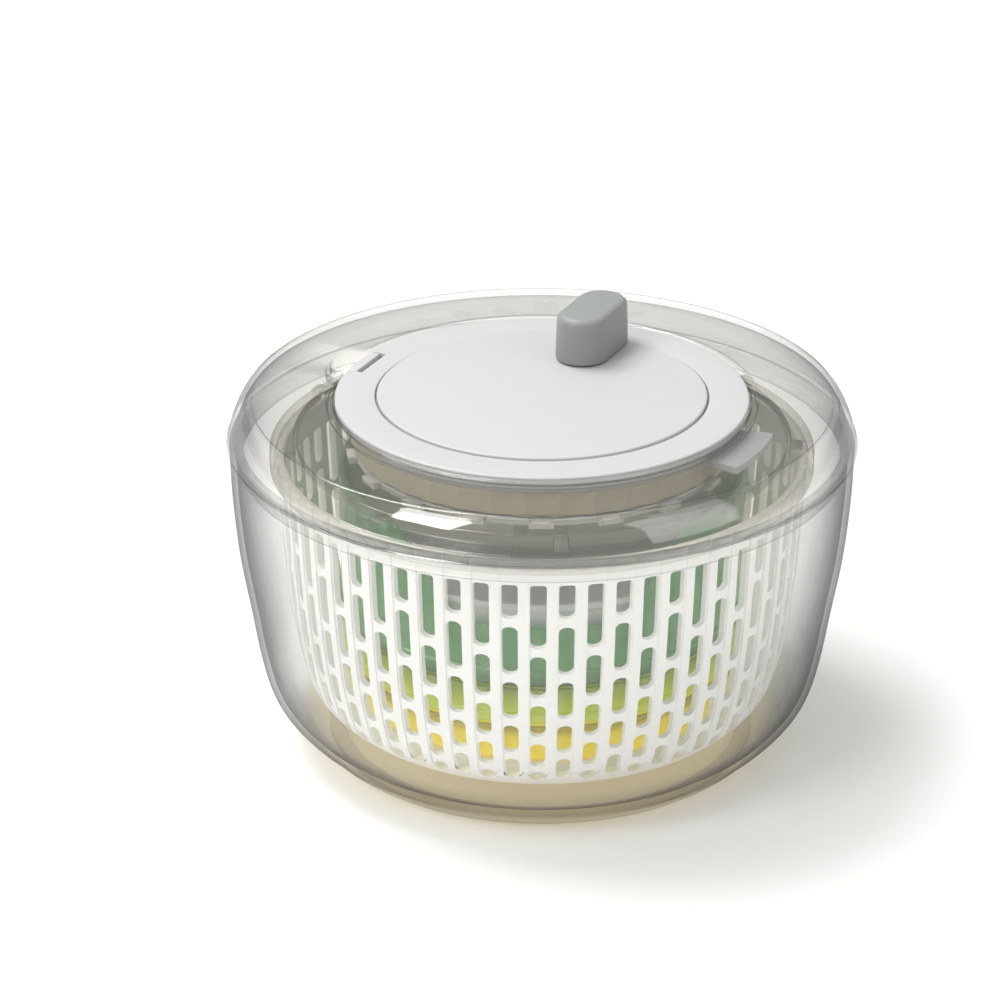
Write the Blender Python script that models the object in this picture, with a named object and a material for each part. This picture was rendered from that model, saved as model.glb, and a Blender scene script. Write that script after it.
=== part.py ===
"""A salad spinner: a clear bowl, a slotted basket that stores three drop-in cutters, a clear lid,
and a tilt-out crank drive whose planet gears turn the basket three times for each turn of the crank.

Metres, +Z up. The origin is the middle of the underside, where the spinner stands. The front is -Y.
"""

import math

import bmesh
import bpy
from mathutils import Matrix, Vector

# Fits
GAP = 0.0003  # between faces that touch
RUNNING_GAP = 0.0008  # between pieces that move past each other

# Bowl
BOWL_RADIUS = 0.1295  # outside, at the rim
BOWL_HEIGHT = 0.133
BOWL_WALL = 0.0026
BOWL_FLOOR = 0.0065  # top of the floor
FOOT_RADIUS = 0.0932
FOOT_RECESS = 0.0016  # height of the hollow under the floor
FOOT_RING_RADIUS = 0.0875  # middle of the ring
FOOT_RING_WIDTH = 0.0056
FOOT_RING_THICKNESS = 0.0027
FOOT_RING_PROUD = 0.0006
SPIGOT_RADIUS = 0.005
SPIGOT_HEIGHT = 0.0105

# Basket
BASKET_RADIUS = 0.1105  # outside, at the rim
BASKET_WALL = 0.004
BASKET_FLOOR = 0.017  # underside
BASKET_FLOOR_THICKNESS = 0.0022
BASKET_CORNER = 0.0255  # how far the floor's edge lies inside the rim
RIM_CLEARANCE = 0.0065  # basket rim below the bowl's rim
BEARING_WALL = 0.003
BEARING_CAP = 0.0017
HUB_WALL_THICKNESS = 0.0032  # of the basket's socket over the bearing
SLOT_COLUMNS = 60
SLOT_SHARE = 0.58  # of the pitch
SLOT_TURN = math.radians(-0.5)  # the column nearest the front, from the front
SLOT_TOP_BAND = 0.0109  # plain band under the rim
FIRST_BRIDGE_DROP = 0.0278  # from the rim to the first bridge
BRIDGE_STEP = 0.028
BRIDGE = 0.0037
BRIDGES = 2
SLOT_BOTTOM = 0.0216
STORE_RIB_HEIGHT = 0.0049  # carries the cutters above the floor

# Cutters stored in the basket, which also fit the lid's opening
CUTTER_RADIUS = 0.0845
CUTTER_WALL = 0.0022
CUTTER_LIP = 0.001  # how far the lower lip stands out
CUTTER_LIP_HEIGHT = 0.0016
CUTTER_NECK_STEP = 0.0012  # how far the part under the lip is set in
SLICER_HEIGHT = 0.0157
GRATER_NECK = 0.0042
GRATER_HEIGHT = 0.0125
SPIRAL_NECK = 0.0062
SPIRAL_HEIGHT = 0.021
EAR_CLEARANCE = 0.0054  # of the two ears' tops below the basket's rim
EAR_CUT_HALF_WIDTH = 0.038  # of the low part of the rim
PUSHER_CLEARANCE = 0.0023  # inside the cutter's wall
PUSHER_HEIGHT = 0.0263
PUSHER_GRIP_RADIUS = 0.014
PUSHER_EDGE = 0.003
BLADE_THICKNESS = 0.0012
SLICER_MOUTH_LENGTH = 0.1
SLICER_MOUTH_WIDTH = 0.012
SLICER_BLADE_LENGTH = 0.112
SLICER_BLADE_WIDTH = 0.016
SLICER_BLADE_SETBACK = 0.012  # from the middle of the mouth to that of the blade
SLICER_BEVEL = 0.004
GRATER_WINDOW_LENGTH = 0.084
GRATER_WINDOW_WIDTH = 0.05
GRATER_PLATE_MARGIN = 0.008  # of the plate around the window
GRATER_HOLE_RADIUS = 0.0045
GRATER_HOLE_PITCH = 0.0155
GRATER_ROW_PITCH = 0.018
GRATER_COLUMNS = 5
SPIRAL_MOUTH_RADIUS = 0.03
SPIRAL_RING_WIDTH = 0.008
SPIRAL_RING_REACH = 0.006  # of the blade's ring over the mouth's edge
SPIRAL_EDGE_WIDTH = 0.008
SPIRAL_SPIKE_RADIUS = 0.003

# Drive collar on the basket
COLLAR_THICKNESS = 0.0025
COLLAR_SKIRT = 0.0055
COLLAR_SKIRT_WALL = 0.0016
COLLAR_WALL_RADIUS = 0.1032
COLLAR_WALL_HEIGHT = 0.0047
COLLAR_LUGS = 9
COLLAR_LUG_LENGTH = 0.0048
COLLAR_LUG_WIDTH = 0.006
COLLAR_TURN = math.radians(4.2)
DRIVE_TEETH = 18
DRIVE_TOOTH_WIDTH = 0.01
DRIVE_ROOT_RADIUS = 0.0825  # of the collar
DRIVE_TIP_RADIUS = 0.079

# Lid
LID_OVERHANG = 0.0011  # over the bowl's rim
LID_RISE = 0.018  # of the lid's top over the bowl's rim
LID_WALL = 0.0022
LID_BEAD_WIDTH = 0.0029
LID_BEAD_HEIGHT = 0.0008
LID_SKIRT_DROP = 0.008
LID_SKIRT_GAP = 0.0007
OPENING_RADIUS = 0.0865
LEDGE_WIDTH = 0.003
LEDGE_THICKNESS = 0.002
NOTCH_ANGLE = math.radians(155.6)
NOTCH_CHORD = 0.027
NOTCH_LENGTH = 0.0105  # past the opening
NOTCH_WALL = 0.0016
NOTCH_DEPTH = 0.006

# Gear cover and its tab
COVER_CLEARANCE = 0.001  # inside the opening
COVER_THICKNESS = 0.0032
COVER_SLEEVE_CLEARANCE = 0.0013  # inside the ledge
COVER_SLEEVE_WALL = 0.0027
COVER_SLEEVE_DROP = 0.0045
DISC_SEAT_WIDTH = 0.006
DISC_SEAT_THICKNESS = 0.002
TAB_ANGLE = math.radians(-25.5)
TAB_HALF_SPAN = math.radians(11.5)
TAB_LENGTH = 0.0105  # past the opening
TAB_DROP = 0.0072  # from the cover's top to the tab's
TAB_THICKNESS = 0.003

# Housing
HOUSING_STEP = 0.0032  # inside the cover's sleeve
HOUSING_WALL = 0.0015
HOUSING_SCALLOP = 0.0013
HOUSING_SCALLOPS = 36
HOUSING_DROP = 0.02  # of its lower edge below the lid's top
HOUSING_FLOOR_DROP = 0.018
HOUSING_FLOOR_THICKNESS = 0.0022
SCREWS = 4
SCREW_INSET = 0.008  # from the housing's outside
SCREW_TURN = math.radians(20)
SCREW_RADIUS = 0.0015
SCREW_HEAD_RADIUS = 0.0029
SCREW_HEAD_HEIGHT = 0.0015
SCREW_BOSS_RADIUS = 0.0042

# Crank
DISC_RADIUS = 0.0682
DISC_THICKNESS = 0.0025
DISC_PROUD = 0.0008
HUB_WALL = 0.0036
KNOB_LENGTH = 0.043
KNOB_WIDTH = 0.0224
KNOB_HEIGHT = 0.0206
KNOB_ORBIT = 0.0508
KNOB_ANGLE = math.radians(65.5)
KNOB_EDGE = 0.0022
KNOB_PIN_RADIUS = 0.0025
KNOB_PIN_HEAD = 0.0045
KNOB_PIN_REACH = 0.7  # of the knob's height
CLIP_REACH = 0.55
CLIP_WALL = 0.0018
CLIP_THICKNESS = 0.0012

# Gears
MODULE = 0.0024
SUN_TEETH = 15
PLANET_TEETH = 15
PLANETS = 3
GEAR_HEIGHT = 0.0066
GEAR_DROP = 0.011  # of the gears' undersides below the lid's top
ADDENDUM = 0.8  # of the module
DEDENDUM = 1.1
BACKLASH = 0.0007
FLANK = math.tan(math.radians(20))
RING_RIM = 0.0035
RING_LIP_OVERLAP = 0.0026  # under the cover's seat
RING_LIP_THICKNESS = 0.0022
AXLE_RADIUS = 0.0025
AXLE_HEAD = 0.004
AXLE_HEAD_HEIGHT = 0.0011
AXLE_BOSS_RADIUS = 0.0055
SHAFT_RADIUS = 0.005
BUSH_WALL = 0.0044
BUSH_FLANGE = 0.0022
BUSH_FLANGE_TOP = 0.0013  # above the housing's floor
WASHER_THICKNESS = 0.0015

# Rotor
ROTOR_TIP_CLEARANCE = 0.0013
ROTOR_ROOT_CLEARANCE = 0.0015
ROTOR_THICKNESS = 0.0027
ROTOR_SCREW_HEAD = 0.006
ROTOR_WINDOWS = 8
ROTOR_WINDOW_RADII = (0.032, 0.066)
ROTOR_WINDOW_HALF_SPAN = math.radians(9.5)

# Latch
LATCH_WIDTH = 0.022
LATCH_TRAVEL = 0.0027
LATCH_DEPTH = 0.005  # from the slot to the rim
LATCH_STEM_WIDTH = 0.010
LATCH_STEM_THICKNESS = 0.0024
LATCH_FLOOR_DROP = 0.0008  # of the latch's underside below the cover's
LATCH_LEG = 0.003
SPRING_RADIUS = 0.0022
SPRING_WIRE = 0.0003
SPRING_TURNS = 4

ROUND = 32  # sides of a large round piece
MEDIUM_ROUND = 20
SMALL_ROUND = 12

# Heights and radii that follow from the driving dimensions
BASKET_RIM = BOWL_HEIGHT - RIM_CLEARANCE
BASKET_INSIDE = BASKET_FLOOR + BASKET_FLOOR_THICKNESS
SPIGOT_TOP = BOWL_FLOOR + SPIGOT_HEIGHT
LID_RADIUS = BOWL_RADIUS + LID_OVERHANG
LID_TOP = BOWL_HEIGHT + LID_RISE
LEDGE_RADIUS = OPENING_RADIUS - LEDGE_WIDTH
NOTCH_REACH = OPENING_RADIUS + NOTCH_LENGTH
TAB_REACH = OPENING_RADIUS + TAB_LENGTH
COVER_RADIUS = OPENING_RADIUS - COVER_CLEARANCE
COVER_SLEEVE_RADIUS = LEDGE_RADIUS - COVER_SLEEVE_CLEARANCE
HOUSING_RADIUS = COVER_SLEEVE_RADIUS - HOUSING_STEP
HOUSING_BOTTOM = LID_TOP - HOUSING_DROP
HOUSING_FLOOR = LID_TOP - HOUSING_FLOOR_DROP
SCREW_CIRCLE = HOUSING_RADIUS - SCREW_INSET
GEAR_BOTTOM = LID_TOP - GEAR_DROP
LID_FLAT = LID_TOP - LID_BEAD_HEIGHT
COVER_TOP = LID_TOP
COVER_BOTTOM = COVER_TOP - COVER_THICKNESS
LEDGE_TOP = COVER_BOTTOM - GAP
SLEEVE_BOTTOM = COVER_BOTTOM - COVER_SLEEVE_DROP
SEAT_TOP = COVER_TOP + DISC_PROUD - DISC_THICKNESS - GAP
SEAT_BOTTOM = SEAT_TOP - DISC_SEAT_THICKNESS
SEAT_RADIUS = DISC_RADIUS + RUNNING_GAP
DISC_BOTTOM = COVER_TOP + DISC_PROUD - DISC_THICKNESS
DISC_TOP = COVER_TOP + DISC_PROUD
HOUSING_TOP = SLEEVE_BOTTOM - GAP
HOUSING_INSIDE = HOUSING_FLOOR + HOUSING_FLOOR_THICKNESS
HOUSING_BORE = HOUSING_RADIUS - HOUSING_SCALLOP - HOUSING_WALL
RING_TEETH = SUN_TEETH + 2 * PLANET_TEETH
RING_PITCH = MODULE * RING_TEETH / 2
RING_OUTSIDE = RING_PITCH + MODULE * DEDENDUM + RING_RIM
RING_LIP = SEAT_RADIUS - DISC_SEAT_WIDTH + RING_LIP_OVERLAP - RING_OUTSIDE
PLANET_ORBIT = MODULE * (SUN_TEETH + PLANET_TEETH) / 2
GEAR_TOP = GEAR_BOTTOM + GEAR_HEIGHT
COLLAR_BOTTOM = BASKET_RIM + RUNNING_GAP
COLLAR_TOP = COLLAR_BOTTOM + COLLAR_THICKNESS
SLICER_BOTTOM = BASKET_INSIDE + STORE_RIB_HEIGHT + GAP
SLICER_TOP = SLICER_BOTTOM + SLICER_HEIGHT
GRATER_BOTTOM = SLICER_TOP + GAP
GRATER_TOP = GRATER_BOTTOM + GRATER_NECK + GRATER_HEIGHT
SPIRAL_BOTTOM = GRATER_TOP + GAP
SPIRAL_RIM = SPIRAL_BOTTOM + SPIRAL_NECK + SPIRAL_HEIGHT
PUSHER_RADIUS = CUTTER_RADIUS - CUTTER_WALL - PUSHER_CLEARANCE
EAR_RISE = BASKET_RIM - EAR_CLEARANCE - SPIRAL_RIM
FRONT = -math.pi / 2


def clear_scene():
    for leftover in list(bpy.data.objects):
        bpy.data.objects.remove(leftover, do_unlink=True)


def finish(name, colour, roughness, metallic=0.0, alpha=1.0):
    """A plain material for one kind of surface."""
    made = bpy.data.materials.new(name)
    made.use_nodes = True
    shader = made.node_tree.nodes["Principled BSDF"]
    shader.inputs["Base Color"].default_value = (*colour, 1)
    shader.inputs["Roughness"].default_value = roughness
    shader.inputs["Metallic"].default_value = metallic
    shader.inputs["Alpha"].default_value = alpha
    return made


def object_from(bm, name, material=None):
    """Turns a bmesh into an object with its faces outwards and its round sides smooth."""
    bmesh.ops.recalc_face_normals(bm, faces=bm.faces)
    mesh = bpy.data.meshes.new(name)
    bm.to_mesh(mesh)
    bm.free()
    mesh.shade_smooth()
    mesh.set_sharp_from_angle(angle=math.radians(30))
    made = bpy.data.objects.new(name, mesh)
    bpy.context.scene.collection.objects.link(made)
    if material:
        made.data.materials.append(material)
    return made


def hidden(tool):
    tool.hide_render = True
    tool.display_type = "WIRE"
    return tool


def combine(target, operation, tool):
    """Adds a live Boolean that joins or cuts the target with a hidden tool."""
    change = target.modifiers.new(tool.name, "BOOLEAN")
    change.operation = operation
    change.object = hidden(tool)


def join(target, bm, name):
    combine(target, "UNION", object_from(bm, f"{target.name}_{name}"))


def cut(target, bm, name):
    combine(target, "DIFFERENCE", object_from(bm, f"{target.name}_{name}"))


def polar(radius, angle):
    return radius * math.cos(angle), radius * math.sin(angle)


def circle(radius, sides=ROUND, centre=(0, 0)):
    steps = (polar(radius, 2 * math.pi * side / sides) for side in range(sides))
    return [(centre[0] + x, centre[1] + y) for x, y in steps]


def around(radius):
    """The corner radius of a large hole whose flats clear a round piece of this radius."""
    return radius / math.cos(math.pi / ROUND)


def smooth_curve(points, steps):
    """Points along a Catmull-Rom curve through the given ones."""
    first = [2 * a - b for a, b in zip(points[0], points[1])]
    last = [2 * a - b for a, b in zip(points[-1], points[-2])]
    run = [first, *points, last]
    curve = [points[0]]
    for before, start, end, after in zip(run, run[1:], run[2:], run[3:]):
        for step in range(1, steps + 1):
            t = step / steps
            curve.append(
                tuple(
                    s + t * (e - b + t * (2 * b - 5 * s + 4 * e - a + t * (3 * s - b - 3 * e + a))) / 2
                    for b, s, e, a in zip(before, start, end, after)
                )
            )
    return curve


def turned(outline, sides=ROUND, centre=(0, 0)):
    """A solid of revolution from a closed (radius, height) outline, which may run to the axis."""
    bm = bmesh.new()
    rings = []
    for radius, height in outline:
        spots = [(0, 0)] if radius == 0 else circle(radius, sides)
        rings.append([bm.verts.new((centre[0] + x, centre[1] + y, height)) for x, y in spots])
    for low, high in zip(rings, rings[1:] + rings[:1]):
        for side in range(sides):
            corners = (
                low[side % len(low)],
                low[(side + 1) % len(low)],
                high[(side + 1) % len(high)],
                high[side % len(high)],
            )
            distinct = list(dict.fromkeys(corners))
            if len(distinct) > 2:
                bm.faces.new(distinct)
    return bm


def prism(loops, bottom, top):
    """A flat plate: the first loop is its edge, and the others are holes through it."""
    bm = bmesh.new()
    for loop in loops:
        corners = [bm.verts.new((x, y, bottom)) for x, y in loop]
        for start, end in zip(corners, corners[1:] + corners[:1]):
            bm.edges.new((start, end))
    bmesh.ops.triangle_fill(bm, edges=bm.edges[:], use_beauty=True)
    raised = bmesh.ops.extrude_face_region(bm, geom=bm.faces[:])["geom"]
    corners = [item for item in raised if isinstance(item, bmesh.types.BMVert)]
    bmesh.ops.translate(bm, verts=corners, vec=(0, 0, top - bottom))
    return bm


def stacked(layers):
    """A solid whose sides run through (loop, height) layers with the same number of points."""
    bm = bmesh.new()
    rings = [[bm.verts.new((x, y, height)) for x, y in loop] for loop, height in layers]
    for low, high in zip(rings, rings[1:]):
        for side, start in enumerate(low):
            after = (side + 1) % len(low)
            bm.faces.new((start, low[after], high[after], high[side]))
    bm.faces.new(rings[0])
    bm.faces.new(rings[-1])
    return bm


def block(radii, half_width, heights, angle=0.0):
    """A box that points away from the axis, from one radius to another."""
    bm = bmesh.new()
    near, far = radii
    low, high = heights
    bmesh.ops.create_cube(bm, size=1)
    size = (far - near, 2 * half_width, high - low)
    middle = ((near + far) / 2, 0, (low + high) / 2)
    place = Matrix.Rotation(angle, 4, "Z") @ Matrix.Translation(middle) @ Matrix.Diagonal((*size, 1))
    bmesh.ops.transform(bm, matrix=place, verts=bm.verts)
    return bm


def rod(radius, heights, centre=(0, 0), sides=SMALL_ROUND):
    low, high = heights
    return turned([(0, low), (radius, low), (radius, high), (0, high)], sides, centre)


def merged(pieces):
    """Several bmeshes as one, for a tool that cuts or joins them all at once."""
    together = bmesh.new()
    for bm in pieces:
        mesh = bpy.data.meshes.new("step")
        bmesh.ops.recalc_face_normals(bm, faces=bm.faces)
        bm.to_mesh(mesh)
        bm.free()
        together.from_mesh(mesh)
        bpy.data.meshes.remove(mesh)
    return together


def zip_faces(bm, first, second):
    """Fills between two runs of (key, vertex) pairs, advancing in the order of their keys."""
    i = j = 0
    while i < len(first) - 1 or j < len(second) - 1:
        next_first = first[i + 1][0] if i < len(first) - 1 else math.inf
        next_second = second[j + 1][0] if j < len(second) - 1 else math.inf
        if math.isclose(next_first, next_second, abs_tol=1e-9):
            bm.faces.new((first[i][1], first[i + 1][1], second[j + 1][1], second[j][1]))
            i, j = i + 1, j + 1
        elif next_first < next_second:
            bm.faces.new((first[i][1], first[i + 1][1], second[j][1]))
            i += 1
        else:
            bm.faces.new((first[i][1], second[j + 1][1], second[j][1]))
            j += 1


def tooth_outline(teeth, root, tip, share, turn=0.0):
    """Straight-sided drive teeth: a tooth is centred on the turn angle."""
    pitch = 2 * math.pi / teeth
    half = share * pitch / 2
    outline = []
    for tooth in range(teeth):
        middle = turn + tooth * pitch
        for radius, angle in ((root, -half), (tip, -half), (tip, half), (root, half)):
            outline.append(polar(radius, middle + angle))
        outline.append(polar(root, middle + pitch / 2))
    return outline


def gear_outline(teeth, turn=0.0, internal=False):
    """Gear teeth with straight 20 degree flanks. An internal gear's outline is that of its hole."""
    pitch_radius = MODULE * teeth / 2
    reach, depth = (DEDENDUM, ADDENDUM) if internal else (ADDENDUM, DEDENDUM)
    slack = BACKLASH / 2 if internal else -BACKLASH / 2
    outline = []
    for tooth in range(teeth):
        middle = turn + 2 * math.pi * tooth / teeth
        for rise, side in ((-depth, -1), (reach, -1), (reach, 1), (-depth, 1)):
            radius = pitch_radius + rise * MODULE
            half = (math.pi * MODULE / 2 + slack) / 2 - rise * MODULE * FLANK
            outline.append(polar(radius, middle + side * half / pitch_radius))
    return outline


def empty_at(name, location):
    """An empty on a joint's axis, which the pieces that turn there hang from."""
    holder = bpy.data.objects.new(name, None)
    holder.location = location
    bpy.context.scene.collection.objects.link(holder)
    return holder


def hang(piece, holder):
    """Parents a piece that is modelled in place, so its origin moves to the holder's."""
    piece.data.transform(Matrix.Translation(-Vector(holder.location)))
    piece.parent = holder


# Bowl ------------------------------------------------------------------------------------------


def bowl_side(inset, foot_lift):
    """The bowl's side from foot to rim, moved inwards by a wall that thickens to the floor."""
    return [
        (FOOT_RADIUS - 0.4 * inset, foot_lift),
        (BOWL_RADIUS - 0.021 - 1.5 * inset, 0.015 + 1.4 * inset),
        (BOWL_RADIUS - 0.0105 - 1.2 * inset, 0.037),
        (BOWL_RADIUS - 0.0035 - inset, 0.6 * BOWL_HEIGHT),
        (BOWL_RADIUS - inset, BOWL_HEIGHT),
    ]


def make_bowl(clear):
    ring_in = FOOT_RING_RADIUS - FOOT_RING_WIDTH / 2 - GAP
    ring_out = FOOT_RING_RADIUS + FOOT_RING_WIDTH / 2 + GAP
    groove = FOOT_RING_THICKNESS + GAP
    under = [
        (0, FOOT_RECESS),
        (ring_in - 0.004, FOOT_RECESS),
        (ring_in - 0.002, FOOT_RING_PROUD),
        (ring_in, FOOT_RING_PROUD),
        (ring_in, groove),
        (ring_out, groove),
        (ring_out, FOOT_RING_PROUD),
    ]
    outside = bowl_side(0, FOOT_RING_PROUD)
    inside = bowl_side(BOWL_WALL, BOWL_FLOOR + 0.0012)[::-1]
    spigot = [
        (FOOT_RADIUS - 0.009, BOWL_FLOOR),
        (SPIGOT_RADIUS + 0.003, BOWL_FLOOR),
        (SPIGOT_RADIUS + GAP, BOWL_FLOOR + 0.002),
        (SPIGOT_RADIUS, SPIGOT_TOP - 0.002),
        (SPIGOT_RADIUS - 0.002, SPIGOT_TOP),
        (0, SPIGOT_TOP),
    ]
    return object_from(turned(under + outside + inside + spigot), "bowl", clear)


def make_foot_ring(rubber):
    near = FOOT_RING_RADIUS - FOOT_RING_WIDTH / 2
    far = FOOT_RING_RADIUS + FOOT_RING_WIDTH / 2
    outline = [(near, 0), (far, 0), (far, FOOT_RING_THICKNESS), (near, FOOT_RING_THICKNESS)]
    return object_from(turned(outline), "foot_ring", rubber)


def make_bearing(white):
    inside = SPIGOT_RADIUS + RUNNING_GAP
    outside = inside + BEARING_WALL
    top = SPIGOT_TOP + GAP
    outline = [
        (inside, BOWL_FLOOR + 0.003),
        (outside, BOWL_FLOOR + 0.003),
        (outside, top + BEARING_CAP),
        (0, top + BEARING_CAP),
        (0, top),
        (inside, top),
    ]
    return object_from(turned(outline, MEDIUM_ROUND), "basket_bearing", white)


# Basket ----------------------------------------------------------------------------------------


def basket_side():
    """The outside of the basket from the floor's edge to the rim."""
    low = BASKET_FLOOR
    tall = BASKET_RIM - BASKET_FLOOR
    return smooth_curve(
        [
            (BASKET_RADIUS - 0.0180, low + 0.0025),
            (BASKET_RADIUS - 0.0115, low + 0.1 * tall),
            (BASKET_RADIUS - 0.0060, low + 0.3 * tall),
            (BASKET_RADIUS - 0.0007, low + 0.9 * tall),
            (BASKET_RADIUS, BASKET_RIM),
        ],
        6,
    )


def radius_at(height, side):
    for (near, low), (far, high) in zip(side, side[1:]):
        if height <= high:
            return near + (far - near) * (height - low) / (high - low)
    return side[-1][0]


def slot_heights(column):
    """The (bottom, top) of each slot in a column. Neighbouring columns share out the bridges."""
    centre = BASKET_RIM - FIRST_BRIDGE_DROP
    edges = [BASKET_RIM - SLOT_TOP_BAND]
    for bridge in range(BRIDGES):
        if bridge % 2 != column % 2:
            edges += [centre + BRIDGE / 2, centre - BRIDGE / 2]
        centre -= BRIDGE_STEP
    edges.append(SLOT_BOTTOM + BRIDGE * (column % 2))
    return sorted(zip(edges[1::2], edges[0::2]))


def make_basket(milky):
    """The slotted wall is built line by line: each slot has a line of points on either side."""
    bm = bmesh.new()
    side = basket_side()
    pitch = 2 * math.pi / SLOT_COLUMNS
    half_slot = SLOT_SHARE * pitch / 2
    foot = side[0][1]

    def line(angle, heights, inset):
        run = []
        for height in heights:
            radius = radius_at(height, side) - inset
            run.append((height, bm.verts.new((*polar(radius, angle), height))))
        return run

    columns = []
    for column in range(SLOT_COLUMNS):
        slots = slot_heights(column)
        heights = [foot + BASKET_FLOOR_THICKNESS, *sum(slots, ()), BASKET_RIM]
        middle = FRONT + SLOT_TURN + column * pitch
        edges = [
            [line(middle + turn, heights, inset) for turn in (-half_slot, half_slot)]
            for inset in (0, BASKET_WALL)
        ]
        columns.append((slots, edges))
    for column, (slots, (outer, inner)) in enumerate(columns):
        following = columns[(column + 1) % SLOT_COLUMNS][1]
        zip_faces(bm, outer[1], following[0][0])
        zip_faces(bm, inner[1], following[1][0])
        for skin in (outer, inner):
            left, right = skin
            for level in range(0, len(left), 2):
                corners = (left[level], right[level], right[level + 1], left[level + 1])
                bm.faces.new([vert for _, vert in corners])
        for slot in range(len(slots)):
            low = 1 + 2 * slot
            rims = [
                [skin[0][low], skin[1][low], skin[1][low + 1], skin[0][low + 1]] for skin in (outer, inner)
            ]
            for corner in range(4):
                after = (corner + 1) % 4
                faces = (rims[0][corner], rims[0][after], rims[1][after], rims[1][corner])
                bm.faces.new([vert for _, vert in faces])

    def closed_ring(skin, level):
        verts = [edge[level][1] for _, edges in columns for edge in edges[skin]]
        keyed = [(math.atan2(vert.co.y, vert.co.x) % (2 * math.pi), vert) for vert in verts]
        return close(keyed)

    def close(keyed):
        keyed = sorted(keyed, key=lambda pair: pair[0])
        return keyed + [(keyed[0][0] + 2 * math.pi, keyed[0][1])]

    def plain_ring(radius, height, sides):
        verts = [bm.verts.new((x, y, height)) for x, y in circle(radius, sides)]
        return close([(2 * math.pi * number / sides, vert) for number, vert in enumerate(verts)])

    zip_faces(bm, closed_ring(0, -1), closed_ring(1, -1))
    floor_edge = BASKET_RADIUS - BASKET_CORNER
    rib = CUTTER_RADIUS - CUTTER_WALL / 2
    rib_top = BASKET_INSIDE + STORE_RIB_HEIGHT
    socket = SPIGOT_RADIUS + RUNNING_GAP + BEARING_WALL + GAP
    socket_top = SPIGOT_TOP + 2 * GAP + BEARING_CAP
    hub = socket + HUB_WALL_THICKNESS
    below = [
        (floor_edge, BASKET_FLOOR, ROUND),
        (hub, BASKET_FLOOR, MEDIUM_ROUND),
        (hub, BOWL_FLOOR + 0.004, MEDIUM_ROUND),
        (socket, BOWL_FLOOR + 0.004, MEDIUM_ROUND),
        (socket, socket_top, MEDIUM_ROUND),
    ]
    above = [
        (rib + 0.0035, BASKET_INSIDE, ROUND),
        (rib + 0.001, rib_top, ROUND),
        (rib - 0.001, rib_top, ROUND),
        (rib - 0.001, BASKET_INSIDE, ROUND),
        (hub, BASKET_INSIDE, MEDIUM_ROUND),
        (hub, socket_top + BASKET_FLOOR_THICKNESS, MEDIUM_ROUND),
    ]
    for skin, steps in ((0, below), (1, above)):
        ring = closed_ring(skin, 0)
        for step in steps:
            following = plain_ring(*step)
            zip_faces(bm, ring, following)
            ring = following
        bm.faces.new([vert for _, vert in ring[:-1]])
    return object_from(bm, "basket", milky)


def make_collar(clear):
    near = DRIVE_ROOT_RADIUS
    skirt_inside = around(BASKET_RADIUS + GAP)
    skirt_outside = skirt_inside + COLLAR_SKIRT_WALL
    share = DRIVE_TOOTH_WIDTH * DRIVE_TEETH / (2 * math.pi * DRIVE_TIP_RADIUS)
    inner = tooth_outline(DRIVE_TEETH, near, DRIVE_TIP_RADIUS, share)
    collar = object_from(
        prism([circle(skirt_outside), inner], COLLAR_BOTTOM, COLLAR_TOP), "drive_collar", clear
    )
    skirt = [
        (skirt_inside, COLLAR_BOTTOM - COLLAR_SKIRT),
        (skirt_outside, COLLAR_BOTTOM - COLLAR_SKIRT),
        (skirt_outside, COLLAR_TOP),
        (skirt_inside, COLLAR_TOP),
    ]
    join(collar, turned(skirt), "skirt")
    wall_top = COLLAR_TOP + COLLAR_WALL_HEIGHT
    wall = [
        (COLLAR_WALL_RADIUS - COLLAR_SKIRT_WALL, COLLAR_BOTTOM + GAP),
        (COLLAR_WALL_RADIUS, COLLAR_BOTTOM + GAP),
        (COLLAR_WALL_RADIUS, wall_top),
        (COLLAR_WALL_RADIUS - COLLAR_SKIRT_WALL, wall_top),
    ]
    join(collar, turned(wall), "wall")
    lugs = [
        block(
            (COLLAR_WALL_RADIUS - 0.001, COLLAR_WALL_RADIUS + COLLAR_LUG_LENGTH),
            COLLAR_LUG_WIDTH / 2,
            (COLLAR_BOTTOM + 2 * GAP, wall_top - GAP),
            FRONT + COLLAR_TURN + 2 * math.pi * lug / COLLAR_LUGS,
        )
        for lug in range(COLLAR_LUGS)
    ]
    join(collar, merged(lugs), "lugs")
    return collar


# Cutters ---------------------------------------------------------------------------------------


def cutter_body(name, material, bottom, neck, rim):
    """A dish with a lip around its lower edge and, under that, a neck that sits on the dish below."""
    lip = bottom + neck
    neck_radius = CUTTER_RADIUS - CUTTER_NECK_STEP
    inside = neck_radius - CUTTER_WALL
    outline = [
        (0, bottom),
        (neck_radius, bottom),
        (neck_radius, lip),
        (CUTTER_RADIUS + CUTTER_LIP, lip),
        (CUTTER_RADIUS, lip + CUTTER_LIP_HEIGHT),
        (CUTTER_RADIUS, rim),
        (CUTTER_RADIUS - CUTTER_WALL, rim),
        (inside, bottom + CUTTER_WALL + neck),
        (inside, bottom + CUTTER_WALL),
        (0, bottom + CUTTER_WALL),
    ]
    if not neck:
        outline[1:3] = [(CUTTER_RADIUS, bottom)]
    return object_from(turned(outline), name, material)


def window(bottom, length, width):
    return block((-length / 2, length / 2), width / 2, (bottom - GAP, bottom + CUTTER_WALL + GAP))


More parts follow.
